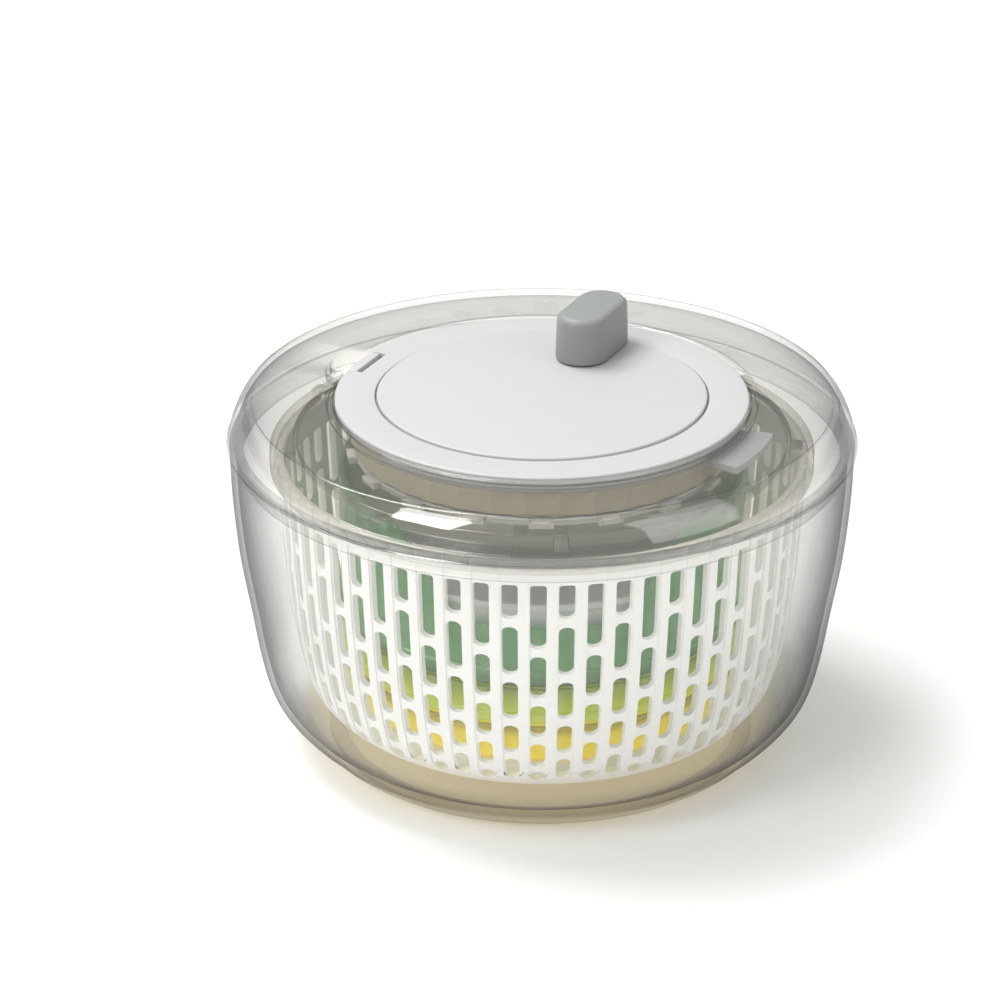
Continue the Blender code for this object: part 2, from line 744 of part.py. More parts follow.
def make_slicer(yellow, steel):
    insert = cutter_body("slicer_insert", yellow, SLICER_BOTTOM, 0, SLICER_TOP)
    cut(insert, window(SLICER_BOTTOM, SLICER_MOUTH_LENGTH, SLICER_MOUTH_WIDTH), "window")
    bed = SLICER_BOTTOM + CUTTER_WALL + GAP
    reach = SLICER_BLADE_LENGTH / 2
    bm = block((-reach, reach), SLICER_BLADE_WIDTH / 2, (bed, bed + BLADE_THICKNESS))
    bmesh.ops.translate(bm, verts=bm.verts, vec=(0, SLICER_BLADE_SETBACK, 0))
    edge = [vert for vert in bm.verts if vert.co.y < SLICER_BLADE_SETBACK and vert.co.z > bed + GAP]
    bmesh.ops.translate(bm, verts=edge, vec=(0, SLICER_BEVEL, 0))
    return insert, object_from(bm, "slicer_blade", steel)


def make_grater(lime, steel):
    insert = cutter_body("grater_insert", lime, GRATER_BOTTOM, GRATER_NECK, GRATER_TOP)
    cut(insert, window(GRATER_BOTTOM, GRATER_WINDOW_LENGTH, GRATER_WINDOW_WIDTH), "window")
    bed = GRATER_BOTTOM + CUTTER_WALL + GAP
    reach = GRATER_WINDOW_LENGTH / 2 + GRATER_PLATE_MARGIN
    half = GRATER_WINDOW_WIDTH / 2 + GRATER_PLATE_MARGIN
    edge = [(reach, half), (-reach, half), (-reach, -half), (reach, -half)]
    holes = []
    for column in range(GRATER_COLUMNS):
        across = GRATER_HOLE_PITCH * (column - (GRATER_COLUMNS - 1) / 2)
        lean = GRATER_ROW_PITCH / 4 * (1 if column % 2 else -1)
        for row in (-0.5, 0.5):
            holes.append(circle(GRATER_HOLE_RADIUS, 6, (across, lean + row * GRATER_ROW_PITCH)))
    plate = object_from(prism([edge, *holes], bed, bed + BLADE_THICKNESS), "grater_plate", steel)
    return insert, plate


def make_spiral(green, steel):
    insert = cutter_body("spiral_insert", green, SPIRAL_BOTTOM, SPIRAL_NECK, SPIRAL_RIM + EAR_RISE)
    low = EAR_CUT_HALF_WIDTH
    flare = [(0.0015, 0.178), (0.0055, 0.37), (0.0125, 0.712), (0.023, 1.041)]
    side = smooth_curve([(low + outwards, share * EAR_RISE) for outwards, share in flare], 2)
    half = [(low - 0.006, 0.0), (low - 0.001, 0.002), *side]
    outline = half + [(-x, rise) for x, rise in half[::-1]]
    saddle = prism([outline], -2 * CUTTER_RADIUS, 2 * CUTTER_RADIUS)
    stand = Matrix.Translation((0, 0, SPIRAL_RIM)) @ Matrix.Rotation(math.pi / 2, 4, "X")
    bmesh.ops.transform(saddle, matrix=stand, verts=saddle.verts)
    cut(insert, saddle, "saddle")
    floor = (SPIRAL_BOTTOM - GAP, SPIRAL_BOTTOM + CUTTER_WALL + GAP)
    cut(insert, rod(SPIRAL_MOUTH_RADIUS, floor, sides=MEDIUM_ROUND), "mouth")
    bed = SPIRAL_BOTTOM + CUTTER_WALL + GAP
    outside = SPIRAL_MOUTH_RADIUS + SPIRAL_RING_REACH
    ring = [circle(outside, MEDIUM_ROUND), circle(outside - SPIRAL_RING_WIDTH, MEDIUM_ROUND)]
    blade = object_from(prism(ring, bed, bed + BLADE_THICKNESS), "spiral_blade", steel)
    reach = SPIRAL_MOUTH_RADIUS
    join(blade, block((-reach, reach), SPIRAL_EDGE_WIDTH / 2, (bed + 0.0001, bed + 0.002)), "edge")
    join(blade, rod(SPIRAL_SPIKE_RADIUS, (bed + 0.0002, bed + 0.003)), "spike")
    return insert, blade


def make_pusher(grey):
    bottom = SPIRAL_BOTTOM + SPIRAL_NECK + CUTTER_WALL + 2 * GAP
    top = bottom + PUSHER_HEIGHT
    inside = PUSHER_RADIUS - CUTTER_WALL
    outline = [
        (0, bottom),
        (PUSHER_RADIUS - PUSHER_EDGE, bottom),
        (PUSHER_RADIUS, bottom + PUSHER_EDGE),
        (PUSHER_RADIUS, top),
        (inside, top),
        (inside - 0.001, bottom + CUTTER_WALL),
        (PUSHER_GRIP_RADIUS, bottom + CUTTER_WALL),
        (PUSHER_GRIP_RADIUS - PUSHER_EDGE, top),
        (0, top),
    ]
    return object_from(turned(outline), "food_pusher", grey)


# Lid -------------------------------------------------------------------------------------------


def notch_outline(chord, reach, inner_run=()):
    """A D whose round side points away from the axis. It can run on inwards to a given radius."""
    bulge = reach - math.sqrt(OPENING_RADIUS**2 - (NOTCH_CHORD / 2) ** 2)
    half = chord / 2
    arc = []
    for step in range(9):
        angle = -math.pi / 2 + math.pi * step / 8
        arc.append((reach - bulge + bulge * math.cos(angle), half * math.sin(angle)))
    outline = [(near, -half) for near in inner_run] + arc + [(near, half) for near in inner_run]
    turn = Matrix.Rotation(NOTCH_ANGLE, 2)
    return [tuple(turn @ Vector(point)) for point in outline]


def make_lid(clear):
    edge = BOWL_HEIGHT + GAP
    tall = LID_FLAT - edge
    outside = smooth_curve(
        [
            (LID_RADIUS - 0.0110, LID_FLAT + 0.0005),
            (LID_RADIUS - 0.0072, LID_FLAT - 0.0005),
            (LID_RADIUS - 0.0034, edge + 0.6 * tall),
            (LID_RADIUS - 0.0007, edge + 0.14 * tall),
            (LID_RADIUS, edge),
        ],
        1,
    )
    skirt_out = BOWL_RADIUS - BOWL_WALL - LID_SKIRT_GAP
    skirt_in = skirt_out - LID_WALL
    skirt_bottom = BOWL_HEIGHT - LID_SKIRT_DROP
    under = LID_FLAT - LID_WALL
    outline = [
        (LEDGE_RADIUS, LEDGE_TOP - LEDGE_THICKNESS),
        (LEDGE_RADIUS, LEDGE_TOP),
        (OPENING_RADIUS, LEDGE_TOP),
        (OPENING_RADIUS, LID_TOP),
        (OPENING_RADIUS + LID_BEAD_WIDTH, LID_TOP),
        (OPENING_RADIUS + LID_BEAD_WIDTH, LID_FLAT),
        *outside,
        (skirt_out, edge),
        (skirt_out, skirt_bottom),
        (skirt_in, skirt_bottom),
        (skirt_in, edge + 0.001),
        (LID_RADIUS - 0.0034 - 0.0026, edge + 0.55 * tall),
        (LID_RADIUS - 0.0094, under - 0.0003),
        (LID_RADIUS - 0.0125, under),
        (OPENING_RADIUS + LID_WALL, under),
        (OPENING_RADIUS + LID_WALL, LEDGE_TOP - LEDGE_THICKNESS),
    ]
    lid = object_from(turned(outline), "lid", clear)
    wide = notch_outline(NOTCH_CHORD + 2 * NOTCH_WALL, NOTCH_REACH + NOTCH_WALL)
    join(lid, prism([wide], LID_FLAT - NOTCH_DEPTH, LID_FLAT - 0.0001), "notch_wall")
    narrow = notch_outline(NOTCH_CHORD, NOTCH_REACH, (LEDGE_RADIUS - 0.005,))
    cut(lid, prism([narrow], LID_FLAT - NOTCH_DEPTH - 0.001, LID_TOP + 0.001), "notch")
    return lid


# Drive unit ------------------------------------------------------------------------------------


def screw_spots():
    return [polar(SCREW_CIRCLE, SCREW_TURN + 2 * math.pi * number / SCREWS) for number in range(SCREWS)]


def planet_spots():
    return [polar(PLANET_ORBIT, 2 * math.pi * number / PLANETS) for number in range(PLANETS)]


def make_cover(grey):
    sleeve_inside = COVER_SLEEVE_RADIUS - COVER_SLEEVE_WALL
    outline = [
        (SEAT_RADIUS - DISC_SEAT_WIDTH, SEAT_BOTTOM),
        (sleeve_inside, SEAT_BOTTOM),
        (sleeve_inside, SLEEVE_BOTTOM),
        (COVER_SLEEVE_RADIUS, SLEEVE_BOTTOM),
        (COVER_SLEEVE_RADIUS, COVER_BOTTOM),
        (COVER_RADIUS, COVER_BOTTOM),
        (COVER_RADIUS, COVER_TOP),
        (SEAT_RADIUS, COVER_TOP),
        (SEAT_RADIUS, SEAT_TOP),
        (SEAT_RADIUS - DISC_SEAT_WIDTH, SEAT_TOP),
    ]
    cover = object_from(turned(outline), "gear_cover", grey)
    steps = [TAB_ANGLE + TAB_HALF_SPAN * (step / 4 - 1) for step in range(9)]
    tab = [polar(sleeve_inside + 0.0005, angle) for angle in steps]
    tab += [polar(TAB_REACH, angle) for angle in steps[::-1]]
    tab_top = COVER_TOP - TAB_DROP
    join(cover, prism([tab], tab_top - TAB_THICKNESS, tab_top), "tab")
    boss = (HOUSING_TOP + 2 * GAP, SEAT_BOTTOM + 0.001)
    bosses = [rod(SCREW_BOSS_RADIUS, boss, spot) for spot in screw_spots()]
    join(cover, merged(bosses), "bosses")
    hole = (SLEEVE_BOTTOM - 0.001, SEAT_BOTTOM)
    threads = [rod(SCREW_RADIUS + GAP, hole, spot) for spot in screw_spots()]
    cut(cover, merged(threads), "threads")
    pocket_start = COVER_RADIUS - LATCH_DEPTH - LATCH_TRAVEL
    side_gap = GAP + LATCH_WIDTH / 2
    pocket_heights = (COVER_BOTTOM - LATCH_FLOOR_DROP - GAP, COVER_TOP + 0.001)
    pocket = block((pocket_start, COVER_RADIUS + 0.002), side_gap, pocket_heights, NOTCH_ANGLE)
    cut(cover, pocket, "latch_pocket")
    stem_gap = GAP + LATCH_STEM_WIDTH / 2
    passage = (SLEEVE_BOTTOM - 0.001, COVER_BOTTOM - LATCH_FLOOR_DROP)
    cut(cover, block((SEAT_RADIUS + 0.002, COVER_RADIUS), stem_gap, passage, NOTCH_ANGLE), "latch_passage")
    return cover


def make_housing(tan):
    scallops = []
    for number in range(2 * HOUSING_SCALLOPS):
        radius = HOUSING_RADIUS - HOUSING_SCALLOP * (number % 2)
        scallops.append(polar(radius, math.pi * number / HOUSING_SCALLOPS))
    wall = prism([scallops, circle(HOUSING_BORE)], HOUSING_BOTTOM, HOUSING_TOP)
    housing = object_from(wall, "gear_housing", tan)
    bush_hole = SHAFT_RADIUS + RUNNING_GAP / 2 + BUSH_WALL + GAP
    floor = [circle(HOUSING_BORE + HOUSING_WALL / 2), circle(bush_hole, MEDIUM_ROUND)]
    join(housing, prism(floor, HOUSING_FLOOR, HOUSING_INSIDE), "floor")
    low = HOUSING_FLOOR + 2 * GAP
    bosses = [rod(SCREW_BOSS_RADIUS, (low, HOUSING_TOP), spot) for spot in screw_spots()]
    bosses += [rod(AXLE_BOSS_RADIUS, (low, GEAR_BOTTOM - RUNNING_GAP), spot) for spot in planet_spots()]
    spring_stop = RING_OUTSIDE + RING_LIP + RUNNING_GAP
    bosses.append(block((spring_stop - 0.002, spring_stop), 0.004, (low, GEAR_TOP - 0.004), NOTCH_ANGLE))
    join(housing, merged(bosses), "bosses")
    through = (HOUSING_BOTTOM, HOUSING_TOP + 0.001)
    holes = [rod(SCREW_RADIUS + GAP, through, spot) for spot in screw_spots()]
    holes += [rod(AXLE_RADIUS + GAP, (HOUSING_BOTTOM, GEAR_BOTTOM), spot) for spot in planet_spots()]
    cut(housing, merged(holes), "holes")
    return housing


def make_screws(steel):
    for number, spot in enumerate(screw_spots(), 1):
        head_top = HOUSING_FLOOR - GAP
        outline = [
            (0, head_top - SCREW_HEAD_HEIGHT),
            (SCREW_HEAD_RADIUS, head_top - SCREW_HEAD_HEIGHT),
            (SCREW_HEAD_RADIUS, head_top),
            (SCREW_RADIUS, head_top),
            (SCREW_RADIUS, SEAT_BOTTOM - 0.001),
            (0, SEAT_BOTTOM - 0.001),
        ]
        object_from(turned(outline, SMALL_ROUND, spot), f"housing_screw_{number}", steel)


def make_crank(grey, gear_white, steel, axis):
    """The disc, the ring gear under it and the knob's pin, which turn together."""
    hub_bore = SHAFT_RADIUS + RUNNING_GAP / 2
    hub = hub_bore + HUB_WALL
    shaft_top = DISC_BOTTOM - GAP
    outline = [
        (0, DISC_TOP),
        (0, shaft_top + GAP),
        (hub_bore, shaft_top + GAP),
        (hub_bore, GEAR_TOP + RUNNING_GAP),
        (hub, GEAR_TOP + RUNNING_GAP),
        (hub, DISC_BOTTOM),
        (DISC_RADIUS, DISC_BOTTOM),
        (DISC_RADIUS, DISC_TOP - 0.0004),
        (DISC_RADIUS - 0.0004, DISC_TOP),
    ]
    disc = object_from(turned(outline), "crank_disc", grey)
    spot = polar(KNOB_ORBIT, KNOB_ANGLE)
    cut(disc, rod(KNOB_PIN_RADIUS + GAP, (DISC_BOTTOM - 0.001, DISC_TOP + 0.001), spot), "pin_hole")
    hang(disc, axis)

    # A planet with an odd number of teeth turns a tooth to the ring, and one with an even number a gap.
    ring_turn = 0 if PLANET_TEETH % 2 else math.pi / RING_TEETH
    teeth = gear_outline(RING_TEETH, ring_turn, internal=True)
    band = prism([circle(RING_OUTSIDE), teeth], GEAR_BOTTOM, GEAR_TOP)
    ring = object_from(band, "ring_gear", gear_white)
    lip_top = SEAT_BOTTOM - RUNNING_GAP / 2
    outside = RING_OUTSIDE + RING_LIP
    inside = RING_PITCH + MODULE * DEDENDUM + 0.0008
    collar = [
        (inside, GEAR_TOP - 0.002),
        (RING_OUTSIDE - 0.0002, GEAR_TOP - 0.002 - RING_LIP_THICKNESS),
        (outside, lip_top - RING_LIP_THICKNESS),
        (outside, lip_top),
        (RING_OUTSIDE + 0.0001, lip_top),
        (RING_OUTSIDE + 0.0001, DISC_BOTTOM - GAP),
        (inside, DISC_BOTTOM - GAP),
    ]
    join(ring, turned(collar), "collar")
    hang(ring, axis)

    pin = [
        (0, DISC_BOTTOM - GAP - 0.001),
        (KNOB_PIN_HEAD, DISC_BOTTOM - GAP - 0.001),
        (KNOB_PIN_HEAD, DISC_BOTTOM - GAP),
        (KNOB_PIN_RADIUS, DISC_BOTTOM - GAP),
        (KNOB_PIN_RADIUS, DISC_TOP + KNOB_PIN_REACH * KNOB_HEIGHT),
        (0, DISC_TOP + KNOB_PIN_REACH * KNOB_HEIGHT),
    ]
    hang(object_from(turned(pin, SMALL_ROUND, spot), "knob_pin", steel), axis)
    clip_bottom = DISC_TOP + CLIP_REACH * KNOB_HEIGHT
    rings = [circle(KNOB_PIN_RADIUS + wall, SMALL_ROUND, spot) for wall in (CLIP_WALL, GAP)]
    clip = prism(rings, clip_bottom, clip_bottom + CLIP_THICKNESS)
    hang(object_from(clip, "knob_clip", steel), axis)


def knob_outline(inset):
    """A long round-ended outline that points away from the axis."""
    radius = KNOB_WIDTH / 2 - inset
    run = (KNOB_LENGTH - KNOB_WIDTH) / 2
    outline = []
    for end in (1, -1):
        for step in range(9):
            angle = math.pi * (step / 8 - 0.5) + (0 if end > 0 else math.pi)
            outline.append((KNOB_ORBIT + end * run + radius * math.cos(angle), radius * math.sin(angle)))
    turn = Matrix.Rotation(KNOB_ANGLE, 2)
    return [tuple(turn @ Vector(point)) for point in outline]


def make_knob(dark_grey, axis):
    bottom = DISC_TOP + RUNNING_GAP
    top = DISC_TOP + KNOB_HEIGHT
    layers = [
        (knob_outline(0.0004), bottom),
        (knob_outline(0), bottom + 0.0005),
        (knob_outline(0), top - KNOB_EDGE),
        (knob_outline(0.35 * KNOB_EDGE), top - 0.35 * KNOB_EDGE),
        (knob_outline(KNOB_EDGE), top),
    ]
    knob = object_from(stacked(layers), "knob", dark_grey)
    spot = polar(KNOB_ORBIT, KNOB_ANGLE)
    shelf = DISC_TOP + CLIP_REACH * KNOB_HEIGHT - RUNNING_GAP / 2
    bore = KNOB_PIN_RADIUS + RUNNING_GAP / 2
    wide = KNOB_PIN_RADIUS + CLIP_WALL + RUNNING_GAP / 2
    end = DISC_TOP + KNOB_PIN_REACH * KNOB_HEIGHT + RUNNING_GAP
    mouth = bottom - 0.001
    outline = [(0, mouth), (bore, mouth), (bore, shelf), (wide, shelf), (wide, end), (0, end)]
    cut(knob, turned(outline, SMALL_ROUND, spot), "bore")
    hang(knob, axis)


def make_planets(gear_white, steel):
    bore = AXLE_RADIUS + RUNNING_GAP / 2
    for number, spot in enumerate(planet_spots(), 1):
        gap_to_sun = math.pi + math.pi / PLANET_TEETH
        turn = 2 * math.pi * (number - 1) / PLANETS + gap_to_sun
        outline = [(spot[0] + x, spot[1] + y) for x, y in gear_outline(PLANET_TEETH, turn)]
        gear = prism([outline, circle(bore, SMALL_ROUND, spot)], GEAR_BOTTOM, GEAR_TOP - GAP)
        axis = empty_at(f"planet_axis_{number}", (*spot, GEAR_BOTTOM))
        hang(object_from(gear, f"planet_gear_{number}", gear_white), axis)
        head_top = HOUSING_FLOOR - GAP
        pin = [
            (0, head_top - AXLE_HEAD_HEIGHT),
            (AXLE_HEAD, head_top - AXLE_HEAD_HEIGHT),
            (AXLE_HEAD, head_top),
            (AXLE_RADIUS, head_top),
            (AXLE_RADIUS, GEAR_TOP + 0.0005),
            (0, GEAR_TOP + 0.0005),
        ]
        object_from(turned(pin, SMALL_ROUND, spot), f"planet_axle_{number}", steel)


def make_output(white, steel, brass, axis):
    """The sun gear, its shaft and the rotor that turns the collar, with the bush they run in."""
    bore = SHAFT_RADIUS + GAP
    sun = prism([gear_outline(SUN_TEETH), circle(bore, MEDIUM_ROUND)], GEAR_BOTTOM, GEAR_TOP)
    hang(object_from(sun, "sun_gear", white), axis)

    rotor_bottom = COLLAR_BOTTOM - GAP
    screw_bore = SCREW_RADIUS + GAP
    shaft = [
        (screw_bore, rotor_bottom + GAP),
        (SHAFT_RADIUS, rotor_bottom + GAP),
        (SHAFT_RADIUS, DISC_BOTTOM - 2 * GAP),
        (0, DISC_BOTTOM - 2 * GAP),
        (0, HOUSING_INSIDE),
        (screw_bore, HOUSING_INSIDE),
    ]
    hang(object_from(turned(shaft, MEDIUM_ROUND), "output_shaft", white), axis)

    tip = DRIVE_ROOT_RADIUS - ROTOR_TIP_CLEARANCE
    root = DRIVE_TIP_RADIUS - ROTOR_ROOT_CLEARANCE
    share = DRIVE_TOOTH_WIDTH * DRIVE_TEETH / (2 * math.pi * tip)
    edge = tooth_outline(DRIVE_TEETH, root, tip, share, math.pi / DRIVE_TEETH)
    windows = []
    for number in range(ROTOR_WINDOWS):
        middle = 2 * math.pi * number / ROTOR_WINDOWS
        ends = (middle - ROTOR_WINDOW_HALF_SPAN, middle + ROTOR_WINDOW_HALF_SPAN)
        near, far = ROTOR_WINDOW_RADII
        corners = [(near, ends[0]), (near, ends[1]), (far, ends[1]), (far, ends[0])]
        windows.append([polar(radius, turn) for radius, turn in corners])
    loops = [edge, circle(bore, MEDIUM_ROUND), *windows]
    plate = prism(loops, rotor_bottom, rotor_bottom + ROTOR_THICKNESS)
    rotor = object_from(plate, "drive_rotor", white)
    sleeve = [circle(SHAFT_RADIUS + BUSH_WALL, MEDIUM_ROUND), circle(bore, MEDIUM_ROUND)]
    join(rotor, prism(sleeve, rotor_bottom + GAP, HOUSING_FLOOR - 2 * GAP), "sleeve")
    hang(rotor, axis)

    screw = [
        (0, rotor_bottom - GAP - SCREW_HEAD_HEIGHT),
        (ROTOR_SCREW_HEAD, rotor_bottom - GAP - SCREW_HEAD_HEIGHT),
        (ROTOR_SCREW_HEAD, rotor_bottom - GAP),
        (SCREW_RADIUS, rotor_bottom - GAP),
        (SCREW_RADIUS, HOUSING_INSIDE - GAP),
        (0, HOUSING_INSIDE - GAP),
    ]
    hang(object_from(turned(screw, SMALL_ROUND), "rotor_screw", steel), axis)

    inside = SHAFT_RADIUS + RUNNING_GAP / 2
    outside = inside + BUSH_WALL
    bush = [
        (inside, HOUSING_FLOOR),
        (outside, HOUSING_FLOOR),
        (outside, HOUSING_INSIDE + GAP),
        (outside + BUSH_FLANGE, HOUSING_INSIDE + GAP),
        (outside + BUSH_FLANGE, HOUSING_INSIDE + BUSH_FLANGE_TOP),
        (inside, HOUSING_INSIDE + BUSH_FLANGE_TOP),
    ]
    object_from(turned(bush, MEDIUM_ROUND), "shaft_bush", brass)
    washer_bottom = HOUSING_INSIDE + BUSH_FLANGE_TOP + GAP
    rings = [circle(outside, MEDIUM_ROUND), circle(inside, MEDIUM_ROUND)]
    washer = prism(rings, washer_bottom, washer_bottom + WASHER_THICKNESS)
    object_from(washer, "thrust_washer", steel)


def latch_edge():
    """The latch's outline from above: straight at the slot, round at the rim."""
    half = LATCH_WIDTH / 2
    slot = COVER_RADIUS - LATCH_DEPTH
    outline = [(slot, half), (slot, -half)]
    reach = COVER_RADIUS - GAP
    sweep = math.asin(half / reach)
    outline += [polar(reach, -sweep + 2 * sweep * step / 6) for step in range(7)]
    turn = Matrix.Rotation(NOTCH_ANGLE, 2)
    return [tuple(turn @ Vector(point)) for point in outline]


def make_latch(grey, steel):
    leg_outside = HOUSING_BORE - RUNNING_GAP
    leg_inside = leg_outside - LATCH_LEG
    stem_top = COVER_BOTTOM - LATCH_FLOOR_DROP - 2 * GAP
    stem_bottom = stem_top - LATCH_STEM_THICKNESS
    plate = prism([latch_edge()], COVER_BOTTOM - LATCH_FLOOR_DROP, COVER_TOP)
    latch = object_from(plate, "release_latch", grey)
    half = LATCH_STEM_WIDTH / 2
    riser = (COVER_RADIUS - LATCH_DEPTH + 0.0005, COVER_RADIUS - 0.002)
    join(latch, block(riser, half, (stem_bottom + 0.0002, COVER_TOP - 0.001), NOTCH_ANGLE), "riser")
    stem = (leg_inside + 0.0002, COVER_RADIUS - 0.0025)
    join(latch, block(stem, half - 0.0002, (stem_bottom, stem_top), NOTCH_ANGLE), "stem")
    leg = (GEAR_BOTTOM - 0.002, stem_top - 0.0002)
    join(latch, block((leg_inside, leg_outside), half - 0.0004, leg, NOTCH_ANGLE), "leg")

    spring_stop = RING_OUTSIDE + RING_LIP + RUNNING_GAP
    start = spring_stop + GAP + SPRING_WIRE
    end = leg_inside - GAP - SPRING_WIRE
    height = GEAR_BOTTOM
    across = Vector((-math.sin(NOTCH_ANGLE), math.cos(NOTCH_ANGLE), 0))
    along = Vector((math.cos(NOTCH_ANGLE), math.sin(NOTCH_ANGLE), 0))
    curve = bpy.data.curves.new("latch_spring", "CURVE")
    curve.dimensions = "3D"
    curve.bevel_depth = SPRING_WIRE
    curve.bevel_resolution = 0
    curve.use_fill_caps = True
    coil = curve.splines.new("POLY")
    count = 8 * SPRING_TURNS + 1
    coil.points.add(count - 1)
    for number, point in enumerate(coil.points):
        turn = 2 * math.pi * number / 8
        reach = start + (end - start) * number / (count - 1)
        spot = along * reach + SPRING_RADIUS * (across * math.cos(turn) + Vector((0, 0, math.sin(turn))))
        point.co = (*(spot + Vector((0, 0, height))), 1)
    spring = bpy.data.objects.new("latch_spring", curve)
    curve.materials.append(steel)
    bpy.context.scene.collection.objects.link(spring)


def main():
    clear_scene()
    clear = finish("clear_plastic", (0.93, 0.95, 0.94), 0.06, alpha=0.3)
    milky = finish("milky_plastic", (0.9, 0.9, 0.86), 0.35)
    white = finish("white_plastic", (0.88, 0.88, 0.86), 0.4)
    grey = finish("pale_grey_plastic", (0.66, 0.66, 0.67), 0.45)
    dark_grey = finish("knob_grey_plastic", (0.36, 0.38, 0.37), 0.4)
    tan = finish("warm_grey_plastic", (0.6, 0.56, 0.45), 0.45)
    yellow = finish("yellow_plastic", (0.68, 0.55, 0.0), 0.3)
    lime = finish("lime_plastic", (0.42, 0.53, 0.01), 0.3)
    green = finish("green_plastic", (0.07, 0.2, 0.08), 0.3)
    rubber = finish("pale_rubber", (0.75, 0.75, 0.73), 0.7)
    steel = finish("steel", (0.6, 0.6, 0.6), 0.25, metallic=1.0)
    brass = finish("bronze", (0.6, 0.42, 0.2), 0.35, metallic=1.0)

    make_bowl(clear)
    make_foot_ring(rubber)
    make_bearing(white)
    make_basket(milky)
    make_collar(clear)
    make_slicer(yellow, steel)
    make_grater(lime, steel)
    make_spiral(green, steel)
    make_pusher(grey)
    make_lid(clear)

    crank_axis = empty_at("crank_axis", (0, 0, DISC_BOTTOM))
    knob_axis = empty_at("knob_axis", (*polar(KNOB_ORBIT, KNOB_ANGLE), DISC_TOP))
    shaft_axis = empty_at("shaft_axis", (0, 0, GEAR_BOTTOM))
    make_cover(grey)
    make_housing(tan)
    make_screws(steel)
    make_crank(grey, white, steel, crank_axis)
    make_knob(dark_grey, knob_axis)
    make_planets(white, steel)
    make_output(white, steel, brass, shaft_axis)
    make_latch(grey, steel)


main()
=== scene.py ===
"""Looks of a clear salad spinner with a slotted basket, three stored cutters and a crank-driven lid.

Each sub-assembly is a dataclass with its sizes as fields. Its methods model the pieces with Blender's own
operators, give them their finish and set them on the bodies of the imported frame.
"""

from __future__ import annotations

import logging
import math
from dataclasses import dataclass, field
from enum import Enum
from typing import Any, Callable, Sequence

import bpy
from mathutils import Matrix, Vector

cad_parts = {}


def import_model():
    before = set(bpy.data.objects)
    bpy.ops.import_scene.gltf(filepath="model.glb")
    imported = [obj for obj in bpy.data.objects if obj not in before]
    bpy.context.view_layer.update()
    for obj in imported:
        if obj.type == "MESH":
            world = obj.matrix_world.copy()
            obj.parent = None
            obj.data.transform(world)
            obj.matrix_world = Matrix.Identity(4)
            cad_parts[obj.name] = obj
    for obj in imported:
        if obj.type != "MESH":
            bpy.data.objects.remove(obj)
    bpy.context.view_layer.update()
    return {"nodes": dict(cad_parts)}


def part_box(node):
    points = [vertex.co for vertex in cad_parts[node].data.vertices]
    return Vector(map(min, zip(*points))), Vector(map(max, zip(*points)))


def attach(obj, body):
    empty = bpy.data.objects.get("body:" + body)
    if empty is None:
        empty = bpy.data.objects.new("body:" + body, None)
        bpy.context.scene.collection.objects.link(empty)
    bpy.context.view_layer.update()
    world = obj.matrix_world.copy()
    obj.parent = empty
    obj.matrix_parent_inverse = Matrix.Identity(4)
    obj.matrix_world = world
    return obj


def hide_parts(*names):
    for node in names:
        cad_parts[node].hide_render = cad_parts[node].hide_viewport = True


log = logging.getLogger("salad_spinner")

Outline = list[tuple[float, float]]
Colour = tuple[float, float, float]
Piece = bpy.types.Object


# Shader maths ----------------------------------------------------------------------------------


class Value:
    """A number inside a material. Python's operators on it add Math nodes."""

    def __init__(self, graph: "Graph", socket: Any) -> None:
        """Keeps a socket and the graph that it belongs to.

        Args:
            graph: The material's graph.
            socket: The output socket that holds the number.
        """
        self.graph = graph
        self.socket = socket

    def _joined(self, operation: str, first: Any, second: Any = 0.0, clamp: bool = False) -> "Value":
        """Adds one Math node.

        Args:
            operation: The node's operation.
            first: The first number or Value.
            second: The second number or Value.
            clamp: Whether the result is held between 0 and 1.

        Returns:
            The node's result.
        """
        node = self.graph.add(
            "ShaderNodeMath", {"operation": operation, "use_clamp": clamp}, {0: first, 1: second}
        )
        return Value(self.graph, node.outputs[0])

    def __add__(self, other: Any) -> "Value":
        """Returns the sum."""
        return self._joined("ADD", self, other)

    def __radd__(self, other: Any) -> "Value":
        """Returns the sum."""
        return self._joined("ADD", other, self)

    def __sub__(self, other: Any) -> "Value":
        """Returns the difference."""
        return self._joined("SUBTRACT", self, other)

    def __rsub__(self, other: Any) -> "Value":
        """Returns the difference from a number on the left."""
        return self._joined("SUBTRACT", other, self)

    def __mul__(self, other: Any) -> "Value":
        """Returns the product."""
        return self._joined("MULTIPLY", self, other)

    def __rmul__(self, other: Any) -> "Value":
        """Returns the product."""
        return self._joined("MULTIPLY", other, self)

    def __truediv__(self, other: Any) -> "Value":
        """Returns the quotient."""
        return self._joined("DIVIDE", self, other)

    def __rtruediv__(self, other: Any) -> "Value":
        """Returns the quotient of a number on the left."""
        return self._joined("DIVIDE", other, self)

    def __pow__(self, other: Any) -> "Value":
        """Returns the power."""
        return self._joined("POWER", self, other)

    def held(self) -> "Value":
        """Returns the number held between 0 and 1."""
        return self._joined("ADD", self, 0.0, clamp=True)


